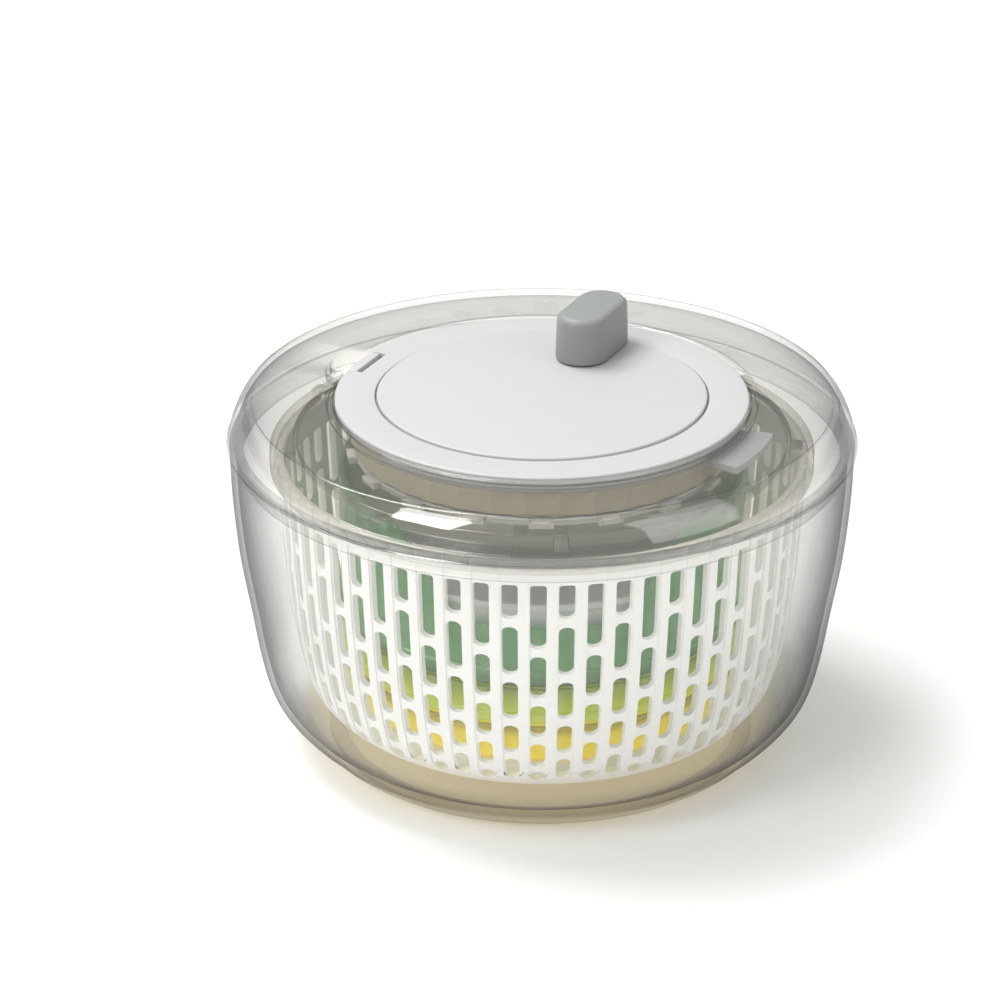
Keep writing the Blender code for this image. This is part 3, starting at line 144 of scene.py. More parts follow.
class Graph:
    """The nodes of one material."""

    def __init__(self, name: str) -> None:
        """Makes an empty material.

        Args:
            name: The material's name.
        """
        self.material = bpy.data.materials.new(name)
        self.material.use_nodes = True
        self.material.node_tree.nodes.clear()
        self._place: Any = None

    def add(self, kind: str, settings: dict[str, Any] | None = None,
        sockets: dict[Any, Any] | None = None) -> Any:
        """Adds one node, sets it and fills its sockets.

        Args:
            kind: The node's type.
            settings: Attributes of the node. "stops" holds a ramp's (position, colour) pairs.
            sockets: Numbers, colours, sockets or Values by the socket's name or number.

        Returns:
            The node.
        """
        tree = self.material.node_tree
        node = tree.nodes.new(kind)
        for name, value in (settings or {}).items():
            if name == "stops":
                ramp = node.color_ramp
                while len(ramp.elements) < len(value):
                    ramp.elements.new(1.0)
                for stop, (position, colour) in zip(ramp.elements, value):
                    stop.position = position
                    stop.color = (*colour, 1.0)
            else:
                setattr(node, name, value)
        for name, value in (sockets or {}).items():
            socket = node.inputs[name]
            if isinstance(value, Value):
                tree.links.new(value.socket, socket)
            elif isinstance(value, bpy.types.NodeSocket):
                tree.links.new(value, socket)
            elif isinstance(value, tuple) and len(value) == 3 and socket.type == "RGBA":
                socket.default_value = (*value, 1.0)
            else:
                socket.default_value = value
        return node

    def place(self) -> Any:
        """Returns the socket of the object's own coordinates."""
        if self._place is None:
            self._place = self.add("ShaderNodeTexCoord").outputs["Object"]
        return self._place

    def height(self) -> Value:
        """Returns the height above the table."""
        return Value(self, self.add("ShaderNodeSeparateXYZ", None, {0: self.place()}).outputs[2])

    def noise(self, size: float, detail: float = 2.0,
        stretch: tuple[float, float, float] = (1, 1, 1)) -> Value:
        """Adds a noise pattern.

        Args:
            size: The size of one patch in metres.
            detail: How many finer octaves it has.
            stretch: The pattern's scale along x, y and z.

        Returns:
            The pattern, from 0 to 1.
        """
        place = self.add("ShaderNodeMapping", None, {"Vector": self.place(), "Scale": stretch}).outputs[0]
        node = self.add("ShaderNodeTexNoise", None, {"Vector": place, "Scale": 1 / size, "Detail": detail})
        return Value(self, node.outputs[0])

    def blended(self, share: Any, first: Any, second: Any) -> Any:
        """Mixes two colours.

        Args:
            share: How much of the second colour shows.
            first: The colour at 0.
            second: The colour at 1.

        Returns:
            The socket of the mixed colour.
        """
        node = self.add("ShaderNodeMix", {"data_type": "RGBA"}, {0: share, 6: first, 7: second})
        return node.outputs[2]

    def bumped(self, pattern: Value, depth: float, strength: float) -> Any:
        """Turns a pattern into small bumps.

        Args:
            pattern: The pattern, from 0 to 1.
            depth: The height of the bumps in metres.
            strength: How strongly they show.

        Returns:
            The socket of the bumped normal.
        """
        sockets = {"Height": pattern, "Distance": depth, "Strength": strength}
        return self.add("ShaderNodeBump", None, sockets).outputs[0]

    def done(self, shader: Any) -> bpy.types.Material:
        """Links the shader to the output and returns the material."""
        self.add("ShaderNodeOutputMaterial", None, {"Surface": shader})
        return self.material


# Finishes --------------------------------------------------------------------------------------


@dataclass(frozen=True)
class MouldedPlastic:
    """Opaque plastic with a satin, slightly uneven skin.

    Attributes:
        name: The material's name.
        colour: The plain colour.
        shade: The colour of its faint darker patches.
        roughness: How matt it is.
        grain: The size of its skin texture in metres.
        relief: How strongly that texture shows.
        painted_light_bands: Heights in metres with the colour there, where the colour changes with height: painted
            shade where a dish sits under the one above and a painted highlight on its lip.
        coat: The weight of a glossy outer skin.
        painted_glow: How strongly the plastic glows in its own colour: a painted glow that lifts its shaded parts.
    """

    name: str
    colour: Colour
    shade: Colour
    roughness: float = 0.4
    grain: float = 0.0007
    relief: float = 0.15
    painted_light_bands: tuple[tuple[float, Colour], ...] = ()
    coat: float = 0.0
    painted_glow: float = 0.0

    def material(self) -> bpy.types.Material:
        """Returns the finish as a material."""
        graph = Graph(self.name)
        patches = graph.noise(0.03, 3.0)
        plain: Any = self.colour
        # A ramp by height paints shade where a dish sits under the one above and a highlight on its lip.
        if self.painted_light_bands:
            low, high = self.painted_light_bands[0][0], self.painted_light_bands[-1][0]
            share = ((graph.height() - low) / (high - low)).held()
            stops = [((height - low) / (high - low), colour) for height, colour in self.painted_light_bands]
            plain = graph.add("ShaderNodeValToRGB", {"stops": stops}, {0: share}).outputs[0]
        colour = graph.blended((patches - 0.45) * 0.6, plain, self.shade)
        skin = graph.noise(self.grain, 2.0)
        shader = graph.add(
            "ShaderNodeBsdfPrincipled",
            None,
            {
                "Base Color": colour,
                "Roughness": (self.roughness + (graph.noise(0.006, 3.0) - 0.5) * 0.12).held(),
                "Normal": graph.bumped(skin, 0.0001, self.relief),
                "Coat Weight": self.coat,
                "Coat Roughness": 0.08,
                # Emission in the plastic's own colour is a painted glow.
                "Emission Color": colour,
                "Emission Strength": self.painted_glow,
            },
        )
        return graph.done(shader.outputs[0])


@dataclass(frozen=True)
class ClearPlastic:
    """Clear moulded plastic: it darkens where it is seen edge on and mirrors the room.

    Attributes:
        name: The material's name.
        through: The tint of a wall that is looked at squarely.
        edge: The tint of a wall that is seen edge on.
        turn: How late the edge tint starts, as a power.
        shine: How much a wall mirrors where it is looked at squarely.
        rim_shine: How much more it mirrors where it is seen edge on.
        roughness: The roughness of the mirror layer.
        haze: How much the plastic scatters light.
        frost_and_painted_light: The colour of the faint scattering layer; where it is warm beige it is painted warm
            light.
        painted_haze_glow: How strongly the scattering layer glows in that colour: a painted glow.
        low_painted_tint: The tint of a wall below low_height: painted warm light on the bowl's base.
        low_height: The height up to which the painted low tint shows, in metres.
        low_painted_haze: How much more of the scattering layer, with its painted colour and glow, shows below
            low_height.
    """

    name: str
    through: Colour = (0.985, 0.985, 0.98)
    edge: Colour = (0.42, 0.43, 0.42)
    turn: float = 3.0
    shine: float = 0.04
    rim_shine: float = 0.22
    roughness: float = 0.04
    haze: float = 0.02
    frost_and_painted_light: Colour = (0.95, 0.95, 0.94)
    painted_haze_glow: float = 0.0
    low_painted_tint: Colour | None = None
    low_height: float = 0.0
    low_painted_haze: float = 0.0

    def material(self) -> bpy.types.Material:
        """Returns the finish as a material."""
        graph = Graph(self.name)
        waves = graph.noise(0.02, 2.0) + graph.noise(0.0015, 1.0) * 0.05
        bump = graph.bumped(waves, 0.0004, 0.25)
        facing = Value(graph, graph.add("ShaderNodeLayerWeight", None, {"Blend": 0.5}).outputs["Facing"])
        slant = graph.add("ShaderNodeLayerWeight", None, {"Blend": 0.5, "Normal": bump}).outputs["Facing"]
        shine = self.shine + self.rim_shine * Value(graph, slant) ** 4.0
        squarely: Any = self.through
        low: Any = 0.0
        # Below low_height the wall takes a warm tint and more of the glowing scattering layer: painted warm light.
        if self.low_painted_tint:
            low = ((self.low_height - graph.height()) / (0.3 * self.low_height)).held()
            squarely = graph.blended(low, self.through, self.low_painted_tint)
        clear = graph.add("ShaderNodeBsdfTransparent", None, {"Color": squarely})
        dark = graph.add("ShaderNodeBsdfTransparent", None, {"Color": self.edge})
        wall = graph.add(
            "ShaderNodeMixShader", None, {0: facing**self.turn, 1: clear.outputs[0], 2: dark.outputs[0]}
        )
        # The scattering layer; its emission is a painted glow.
        frost_and_painted_light = graph.add(
            "ShaderNodeBsdfPrincipled",
            None,
            {
                "Base Color": self.frost_and_painted_light,
                "Roughness": 0.25,
                "Normal": bump,
                "Emission Color": self.frost_and_painted_light,
                "Emission Strength": self.painted_haze_glow,
            },
        )
        haze = self.haze + (graph.noise(0.012, 3.0) - 0.5) * self.haze + low * self.low_painted_haze
        wall = graph.add(
            "ShaderNodeMixShader",
            None,
            {0: haze.held(), 1: wall.outputs[0], 2: frost_and_painted_light.outputs[0]},
        )
        mirror = graph.add(
            "ShaderNodeBsdfGlossy", None,
            {"Color": (1.0, 1.0, 1.0), "Roughness": self.roughness, "Normal": bump}
        )
        both = graph.add("ShaderNodeMixShader", None,
            {0: shine.held(), 1: wall.outputs[0], 2: mirror.outputs[0]})
        return graph.done(both.outputs[0])


@dataclass(frozen=True)
class Metal:
    """Bare metal with fine turning marks.

    Attributes:
        name: The material's name.
        colour: Its colour.
        roughness: How dull it is.
        marks: How the marks stretch along x, y and z.
    """

    name: str
    colour: Colour
    roughness: float = 0.28
    marks: tuple[float, float, float] = (1.0, 1.0, 12.0)

    def material(self) -> bpy.types.Material:
        """Returns the finish as a material."""
        graph = Graph(self.name)
        lines = graph.noise(0.002, 4.0, self.marks)
        colour = graph.blended(lines, self.colour, tuple(0.75 * part for part in self.colour))
        shader = graph.add(
            "ShaderNodeBsdfPrincipled",
            None,
            {
                "Base Color": colour,
                "Metallic": 1.0,
                "Roughness": (self.roughness + (lines - 0.5) * 0.2).held(),
                "Normal": graph.bumped(lines, 0.00005, 0.3),
            },
        )
        return graph.done(shader.outputs[0])


class Finish(Enum):
    """The finishes of the spinner, each as the record's slot and the piece that wears it."""

    BOWL = ("clear_plastic", "bowl")
    LID = ("clear_plastic", "lid")
    COLLAR = ("clear_plastic", "collar")
    BASKET = ("milky_plastic", "basket")
    GEARS = ("white_plastic", "gears")
    COVER = ("pale_grey_plastic", "cover")
    CATCH = ("pale_grey_plastic", "catch")
    PUSHER = ("smoke_plastic", "pusher")
    KNOB = ("knob_grey_plastic", "knob")
    HOUSING = ("warm_grey_plastic", "housing")
    SLICER = ("yellow_plastic", "slicer")
    GRATER = ("lime_plastic", "grater")
    SPIRAL = ("green_plastic", "spiral")
    FOOT = ("pale_rubber", "foot")
    STEEL = ("steel", "steel")
    BRONZE = ("bronze", "bronze")

    @property
    def slot(self) -> str:
        """The record's slot."""
        return self.value[0]


FINISHES: dict[Finish, Any] = {
    # The bowl's beige base tint, its beige scattering layer and that layer's glow are painted warm light that lifts
    # its shaded base.
    Finish.BOWL: ClearPlastic(
        "clear_bowl", edge=(0.02, 0.021, 0.024), turn=3.6, haze=0.004, frost_and_painted_light=(0.93, 0.86, 0.70),
        painted_haze_glow=0.60,
        low_painted_tint=(0.975, 0.935, 0.81), low_height=0.009, low_painted_haze=0.15,
    ),
    Finish.LID: ClearPlastic(
        "clear_lid", through=(0.985, 0.983, 0.975), edge=(0.02, 0.02, 0.02), turn=4.0, shine=0.085,
        haze=0.003
    ),
    Finish.COLLAR: ClearPlastic(
        "clear_collar", through=(0.985, 0.978, 0.95), edge=(0.30, 0.28, 0.22), turn=4.0, shine=0.09,
        haze=0.008
    ),
    # The basket's glow is a painted glow that lifts its shaded inside.
    Finish.BASKET: MouldedPlastic("milky", (0.86, 0.86, 0.845), (0.78, 0.78, 0.765), 0.36, 0.0009, 0.1,
    painted_glow=0.08),
    Finish.GEARS: MouldedPlastic("white_acetal", (0.86, 0.86, 0.84), (0.78, 0.78, 0.76), 0.42),
    Finish.COVER: MouldedPlastic("pale_grey", (0.545, 0.545, 0.545), (0.505, 0.505, 0.505), 0.42, 0.0006,
    0.2),
    Finish.CATCH: MouldedPlastic("pale_grey_catch", (0.56, 0.56, 0.56), (0.52, 0.52, 0.52), 0.40),
    # The pusher's glow is a painted glow.
    Finish.PUSHER: MouldedPlastic("smoke", (0.60, 0.62, 0.61), (0.52, 0.53, 0.52), 0.25, coat=0.4,
    painted_glow=0.05),
    Finish.KNOB: MouldedPlastic("knob_grey", (0.27, 0.285, 0.28), (0.24, 0.255, 0.25), 0.46, 0.0006, 0.2),
    Finish.HOUSING: MouldedPlastic("warm_grey", (0.66, 0.58, 0.42), (0.58, 0.50, 0.34), 0.42),
    # The three dishes' height bands are painted shade under the dish above, with a painted highlight on each lip.
    # Their glow is a painted glow.
    Finish.SLICER: MouldedPlastic(
        "yellow", (0.70, 0.58, 0.0), (0.62, 0.50, 0.0), 0.22, relief=0.05,
        painted_light_bands=((0.024, (0.88, 0.68, 0.005)), (0.034, (0.70, 0.57, 0.0)), (0.0401, (0.30, 0.24, 0.01))),
        coat=0.5, painted_glow=0.34,
    ),
    Finish.GRATER: MouldedPlastic(
        "lime", (0.40, 0.46, 0.01), (0.34, 0.40, 0.01), 0.22, relief=0.05,
        painted_light_bands=((0.0404, (0.50, 0.56, 0.03)), (0.048, (0.38, 0.44, 0.01)), (0.0571, (0.16, 0.22, 0.01))),
        coat=0.5, painted_glow=0.36,
    ),
    Finish.SPIRAL: MouldedPlastic(
        "green", (0.07, 0.20, 0.07), (0.05, 0.15, 0.05), 0.25, relief=0.05,
        painted_light_bands=((0.0574, (0.03, 0.10, 0.03)), (0.064, (0.10, 0.26, 0.09)), (0.121, (0.08, 0.22, 0.08))),
        coat=0.4, painted_glow=0.22,
    ),
    Finish.FOOT: MouldedPlastic("pale_rubber", (0.50, 0.45, 0.33), (0.42, 0.38, 0.27), 0.6),
    Finish.STEEL: Metal("steel", (0.62, 0.62, 0.61)),
    Finish.BRONZE: Metal("bronze", (0.60, 0.42, 0.22), 0.35),
}


# Shaping with operators ------------------------------------------------------------------------


def alone(piece: Piece | None) -> None:
    """Deselects everything and selects one piece, if one is given.

    Args:
        piece: The piece to select and make active.
    """
    bpy.ops.object.select_all(action="DESELECT")
    if piece is not None:
        piece.select_set(True)
        bpy.context.view_layer.objects.active = piece


def editing(piece: Piece) -> None:
    """Opens a piece in edit mode with all of it selected.

    Args:
        piece: The piece to open.
    """
    alone(piece)
    bpy.ops.object.mode_set(mode="EDIT")
    bpy.ops.mesh.select_mode(type="VERT")
    bpy.ops.mesh.select_all(action="SELECT")


def set_down() -> None:
    """Leaves edit mode."""
    bpy.ops.object.mode_set(mode="OBJECT")


def settled(piece: Piece) -> Piece:
    """Puts a piece's place, turn and scale into its mesh.

    Args:
        piece: The piece.

    Returns:
        The same piece.
    """
    alone(piece)
    bpy.ops.object.transform_apply(location=True, rotation=True, scale=True)
    return piece


def chosen(piece: Piece, kind: str, wanted: Callable[[Any], bool]) -> None:
    """Selects the points, edges or faces of a piece that pass a test, and opens it in edit mode.

    Args:
        piece: The piece.
        kind: "VERT", "EDGE" or "FACE".
        wanted: The test. An edge is given as its two end points.
    """
    editing(piece)
    bpy.ops.mesh.select_all(action="DESELECT")
    bpy.ops.mesh.select_mode(type=kind)
    set_down()
    mesh = piece.data
    if kind == "VERT":
        for point in mesh.vertices:
            point.select = wanted(point.co)
    elif kind == "EDGE":
        for edge in mesh.edges:
            edge.select = wanted([mesh.vertices[number].co for number in edge.vertices])
    else:
        for face in mesh.polygons:
            face.select = wanted(face)
    bpy.ops.object.mode_set(mode="EDIT")


def traced(name: str, points: Sequence[tuple[float, float, float]]) -> Piece:
    """Draws a closed line by extruding one point along it.

    Args:
        name: The new piece's name.
        points: The corners, in order.

    Returns:
        The piece, a ring of edges.
    """
    bpy.ops.object.select_all(action="DESELECT")
    bpy.ops.mesh.primitive_plane_add(size=0.001, location=points[0])
    piece = bpy.context.active_object
    piece.name = name
    settled(piece)
    editing(piece)
    bpy.ops.mesh.merge(type="CENTER")
    for before, after in zip(points, [*points[1:], points[0]]):
        step = tuple(b - a for a, b in zip(before, after))
        bpy.ops.mesh.extrude_region_move(TRANSFORM_OT_translate={"value": step})
    bpy.ops.mesh.select_all(action="SELECT")
    bpy.ops.mesh.remove_doubles(threshold=1e-6)
    set_down()
    return piece


def lathed(name: str, outline: Outline, steps: int = 128, angle: float = 2 * math.pi) -> Piece:
    """Spins a closed outline of (radius, height) around the z axis.

    Args:
        name: The new piece's name.
        outline: The outline's corners, in order.
        steps: How many steps the spin takes.
        angle: How far it turns. Less than a full turn gets end faces.

    Returns:
        The closed piece.
    """
    piece = traced(name, [(radius, 0.0, height) for radius, height in outline])
    editing(piece)
    whole = angle > 6.28
    if not whole:
        bpy.ops.mesh.edge_face_add()
    bpy.ops.mesh.spin(steps=steps, angle=angle, center=(0, 0, 0), axis=(0, 0, 1))
    bpy.ops.mesh.select_all(action="SELECT")
    bpy.ops.mesh.remove_doubles(threshold=2e-6)
    bpy.ops.mesh.delete_loose(use_verts=True, use_edges=True, use_faces=False)
    bpy.ops.mesh.select_all(action="SELECT")
    bpy.ops.mesh.normals_make_consistent(inside=False)
    set_down()
    if not whole:
        points = [point.co for point in piece.data.vertices]
        piece.rotation_euler.z = -math.atan2(sum(point.y for point in points),
            sum(point.x for point in points))
        settled(piece)
    return piece


def raised(name: str, outline: Outline, low: float, high: float) -> Piece:
    """Raises a flat closed outline of (x, y) from one height to another.

    Args:
        name: The new piece's name.
        outline: The outline's corners, in order.
        low: The lower height.
        high: The upper height.

    Returns:
        The closed piece.
    """
    piece = traced(name, [(x, y, low) for x, y in outline])
    editing(piece)
    bpy.ops.mesh.edge_face_add()
    bpy.ops.mesh.extrude_region_move(TRANSFORM_OT_translate={"value": (0, 0, high - low)})
    bpy.ops.mesh.select_all(action="SELECT")
    bpy.ops.mesh.normals_make_consistent(inside=False)
    set_down()
    return piece


def brick(name: str, low: Sequence[float], high: Sequence[float], turn: float = 0.0,
    edge: float = 0.0) -> Piece:
    """Makes a block between two corners, rounds its edges and turns it about the z axis.

    Args:
        name: The new piece's name.
        low: Its lowest corner.
        high: Its highest corner.
        turn: The turn about the z axis.
        edge: The size of the rounding.

    Returns:
        The closed piece.
    """
    bpy.ops.object.select_all(action="DESELECT")
    middle = [(a + b) / 2 for a, b in zip(low, high)]
    bpy.ops.mesh.primitive_cube_add(size=1, location=middle, scale=[b - a for a, b in zip(low, high)])
    piece = bpy.context.active_object
    piece.name = name
    settled(piece)
    if edge:
        editing(piece)
        bpy.ops.mesh.bevel(offset=edge, segments=2)
        set_down()
    piece.rotation_euler.z = turn
    return settled(piece)


def altered(piece: Piece, tool: Piece, operation: str = "DIFFERENCE", crossing: bool = False) -> Piece:
    """Cuts a tool out of a piece or adds it, and removes the tool.

    Args:
        piece: The piece that changes.
        tool: The other piece.
        operation: The Boolean's operation.
        crossing: Whether the tool's own shells run through each other.

    Returns:
        The changed piece.
    """
    alone(piece)
    bpy.ops.object.modifier_add(type="BOOLEAN")
    modifier = piece.modifiers[-1]
    modifier.operation = operation
    modifier.solver = "EXACT"
    modifier.use_self = crossing
    modifier.object = tool
    bpy.ops.object.modifier_apply(modifier=modifier.name)
    alone(tool)
    bpy.ops.object.delete()
    alone(piece)
    return piece


def softened(piece: Piece, width: float, segments: int = 2, angle: float = 40.0) -> Piece:
    """Rounds the sharp edges of a piece with a bevel.

    Args:
        piece: The piece.
        width: The bevel's width.
        segments: Its steps.
        angle: Edges that turn by more than this, in degrees, are rounded.

    Returns:
        The same piece.
    """
    alone(piece)
    bpy.ops.object.modifier_add(type="BEVEL")
    modifier = piece.modifiers[-1]
    modifier.width = width
    modifier.segments = segments
    modifier.limit_method = "ANGLE"
    modifier.angle_limit = math.radians(angle)
    modifier.use_clamp_overlap = True
    modifier.harden_normals = False
    bpy.ops.object.modifier_apply(modifier=modifier.name)
    return piece


def joined(pieces: Sequence[Piece]) -> Piece:
    """Joins pieces into the first of them.

    Args:
        pieces: The pieces.

    Returns:
        The first piece, which now holds all.
    """
    alone(pieces[0])
    for piece in pieces:
        piece.select_set(True)
    bpy.ops.object.join()
    return pieces[0]


def ringed(piece: Piece, count: int, weld: float = 2e-5) -> Piece:
    """Copies the mesh of a piece around the z axis.

    Args:
        piece: The piece, which is the first of the copies.
        count: How many there are in a full turn.
        weld: Points nearer than this are merged. 0 leaves them.

    Returns:
        The same piece.
    """
    editing(piece)
    for _ in range(count - 1):
        bpy.ops.mesh.duplicate()
        bpy.ops.transform.rotate(value=2 * math.pi / count, orient_axis="Z", center_override=(0, 0, 0))
    bpy.ops.mesh.select_all(action="SELECT")
    if weld:
        bpy.ops.mesh.remove_doubles(threshold=weld)
    set_down()
    return piece


def turned_by(piece: Piece, angle: float) -> Piece:
    """Turns a piece about the z axis, in its mesh.

    Args:
        piece: The piece.
        angle: The angle.

    Returns:
        The same piece.
    """
    piece.rotation_euler.z = angle
    return settled(piece)


def rounded(corners: Sequence[tuple[float, float, float]], step: float = 18.0) -> Outline:
    """Rounds the corners of a closed outline.

    Args:
        corners: (first, second, radius) of each corner. A radius of 0 leaves it sharp.
        step: The turn of each step in degrees.

    Returns:
        The outline with arcs at its corners.
    """
    outline: Outline = []
    count = len(corners)
    for number, (x, y, radius) in enumerate(corners):
        here = Vector((x, y))
        before = Vector(corners[number - 1][:2]) - here
        after = Vector(corners[(number + 1) % count][:2]) - here
        if radius <= 0 or before.length < 1e-9 or after.length < 1e-9:
            outline.append((x, y))
            continue
        half = before.angle(after) / 2
        reach = min(radius / math.tan(half), 0.49 * before.length, 0.49 * after.length)
        size = reach * math.tan(half)
        start, end = here + before.normalized() * reach, here + after.normalized() * reach
        middle = here + (before.normalized() + after.normalized()).normalized() * size / math.sin(half)
        sweep = math.pi - 2 * half
        steps = max(1, round(math.degrees(sweep) / step))
        for index in range(steps + 1):
            share = index / steps
            point = start.lerp(end, share) - middle
            weight = point.normalized() * size if point.length > 1e-9 else point
            outline.append(tuple(middle + weight))
    return outline


def flowing(points: Outline, steps: int = 5) -> Outline:
    """Runs a smooth curve through points.

    Args:
        points: The points, in order.
        steps: How many steps go between two of them.

    Returns:
        The curve's points.
    """
    padded = [points[0], *points, points[-1]]
    curve: Outline = []
    for a, b, c, d in zip(padded, padded[1:], padded[2:], padded[3:]):
        for index in range(steps):
            t = index / steps
            curve.append(
                tuple(
                    0.5 * (2 * q + (r - p) * t + (2 * p - 5 * q + 4 * r - s) * t * t + (3 * q - p - 3 * r + s) * t**3)
                    for p, q, r, s in zip(a, b, c, d)
                )
            )
    curve.append(points[-1])
    return curve


def offset_in(curve: Outline, distance: float) -> Outline:
    """Moves a curve sideways towards the axis.

    Args:
        curve: The curve of (radius, height), from low to high.
        distance: How far it moves.

    Returns:
        The moved curve.
    """
    moved: Outline = []
    for number, (radius, height) in enumerate(curve):
        ahead = curve[min(number + 1, len(curve) - 1)]
        behind = curve[max(number - 1, 0)]
        run = Vector((ahead[0] - behind[0], ahead[1] - behind[1])).normalized()
        moved.append((radius - run.y * distance, height + run.x * distance))
    return moved


# Dressing --------------------------------------------------------------------------------------

_made: dict[Finish, bpy.types.Material] = {}


def finish_of(finish: Finish) -> bpy.types.Material:
    """Returns the material of a finish, made once.

    Args:
        finish: The finish.

    Returns:
        The material.
    """
    if finish not in _made:
        _made[finish] = FINISHES[finish].material()
    return _made[finish]


def dressed(piece: Piece, name: str, finish: Finish, body: str, nodes: Sequence[str],
    smooth: float = 32.0) -> Piece:
    """Smooths a piece, gives it its finish and sets it on a body.

    Args:
        piece: The piece.
        name: Its name.
        finish: Its finish.
        body: The body that it rides on.
        nodes: The nodes that it stands for.
        smooth: Edges that turn by more than this, in degrees, stay sharp.

    Returns:
        The same piece.
    """
    alone(piece)
    bpy.ops.object.shade_smooth_by_angle(angle=math.radians(smooth))
    piece.name = name
    piece.data.name = name
    piece.data.materials.clear()
    piece.data.materials.append(finish_of(finish))
    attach(piece, body)
    if nodes:
        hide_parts(*nodes)
    log.info("%s: %d faces on %s", name, len(piece.data.polygons), body)
    return piece


# Bowl ------------------------------------------------------------------------------------------


@dataclass
class Bowl:
    """The clear bowl with its foot ring."""

    side: Outline = field(
        default_factory=lambda: [
            (0.1013, 0.008), (0.1085, 0.015), (0.1154, 0.025), (0.1194, 0.040), (0.1226, 0.060),
            (0.1266, 0.085), (0.1288, 0.110), (0.1293, 0.130),
        ]
    )
    wall: float = 0.0026
    foot: float = 0.0932
    floor: float = 0.0065
    spigot: float = 0.005
    spigot_top: float = 0.017
    ring: tuple[float, float] = (0.0847, 0.0903)

    def build(self) -> None:
        """Models and dresses the bowl and its foot ring."""
        low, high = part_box("bowl")
        rim = high.z
        near, far = self.ring
        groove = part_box("foot_ring")[1].z + 0.0002
        curve = flowing(self.side, 4)
        inner = offset_in(curve, self.wall)[3:-1]
        corners: list[tuple[float, float, float]] = [
            (0.0, 0.0016, 0), (near - 0.004, 0.0016, 0.001), (near - 0.002, low.z, 0.0008),
            (near - 0.0003, low.z, 0),
            (near - 0.0003, groove, 0), (far + 0.0003, groove, 0), (far + 0.0003, low.z, 0),
            (self.foot, low.z, 0.0012), (self.foot + 0.0045, low.z + 0.0034, 0.004),
        ]
        corners += [(radius, height, 0) for radius, height in curve]
        corners += [(0.1295, rim, 0.0011), (0.1295 - self.wall, rim, 0.0011)]
        corners += [(radius, height, 0) for radius, height in inner[::-1]]
        corners += [
            (0.0985, self.floor + 0.0035, 0.003), (0.0900, self.floor, 0.006),
            (self.spigot + 0.004, self.floor, 0.001),
            (self.spigot, self.floor + 0.003, 0.001), (self.spigot, self.spigot_top - 0.001, 0.0008),
            (self.spigot - 0.0015, self.spigot_top, 0.0008), (0.0, self.spigot_top, 0),
        ]
        shell = lathed("bowl_shell", rounded(corners), 160)
        dressed(shell, "bowl_shell", Finish.BOWL, "bowl", ["bowl"])
        ring_low, ring_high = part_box("foot_ring")
        corners = [
            (near, ring_low.z, 0.0009), (far, ring_low.z, 0.0009), (far, ring_high.z, 0.0002),
            (near, ring_high.z, 0.0002),
        ]
        ring = lathed("foot_pad", rounded(corners), 160)
        dressed(ring, "foot_pad", Finish.FOOT, "bowl", ["foot_ring"])


# Basket ----------------------------------------------------------------------------------------


class Column(Enum):
    """The two kinds of slot column. Each lists the (bottom, top) of its rounded slots and its top slot."""

    FIRST = ((0.0216, 0.0267), (0.0303, 0.0421), (0.0457, 0.0609), (0.0645, 0.0837), (0.0873, 0.1156))
    SECOND = ((0.0238, 0.0340), (0.0376, 0.0510), (0.0546, 0.0717), (0.0753, 0.0969), (0.1005, 0.1156))


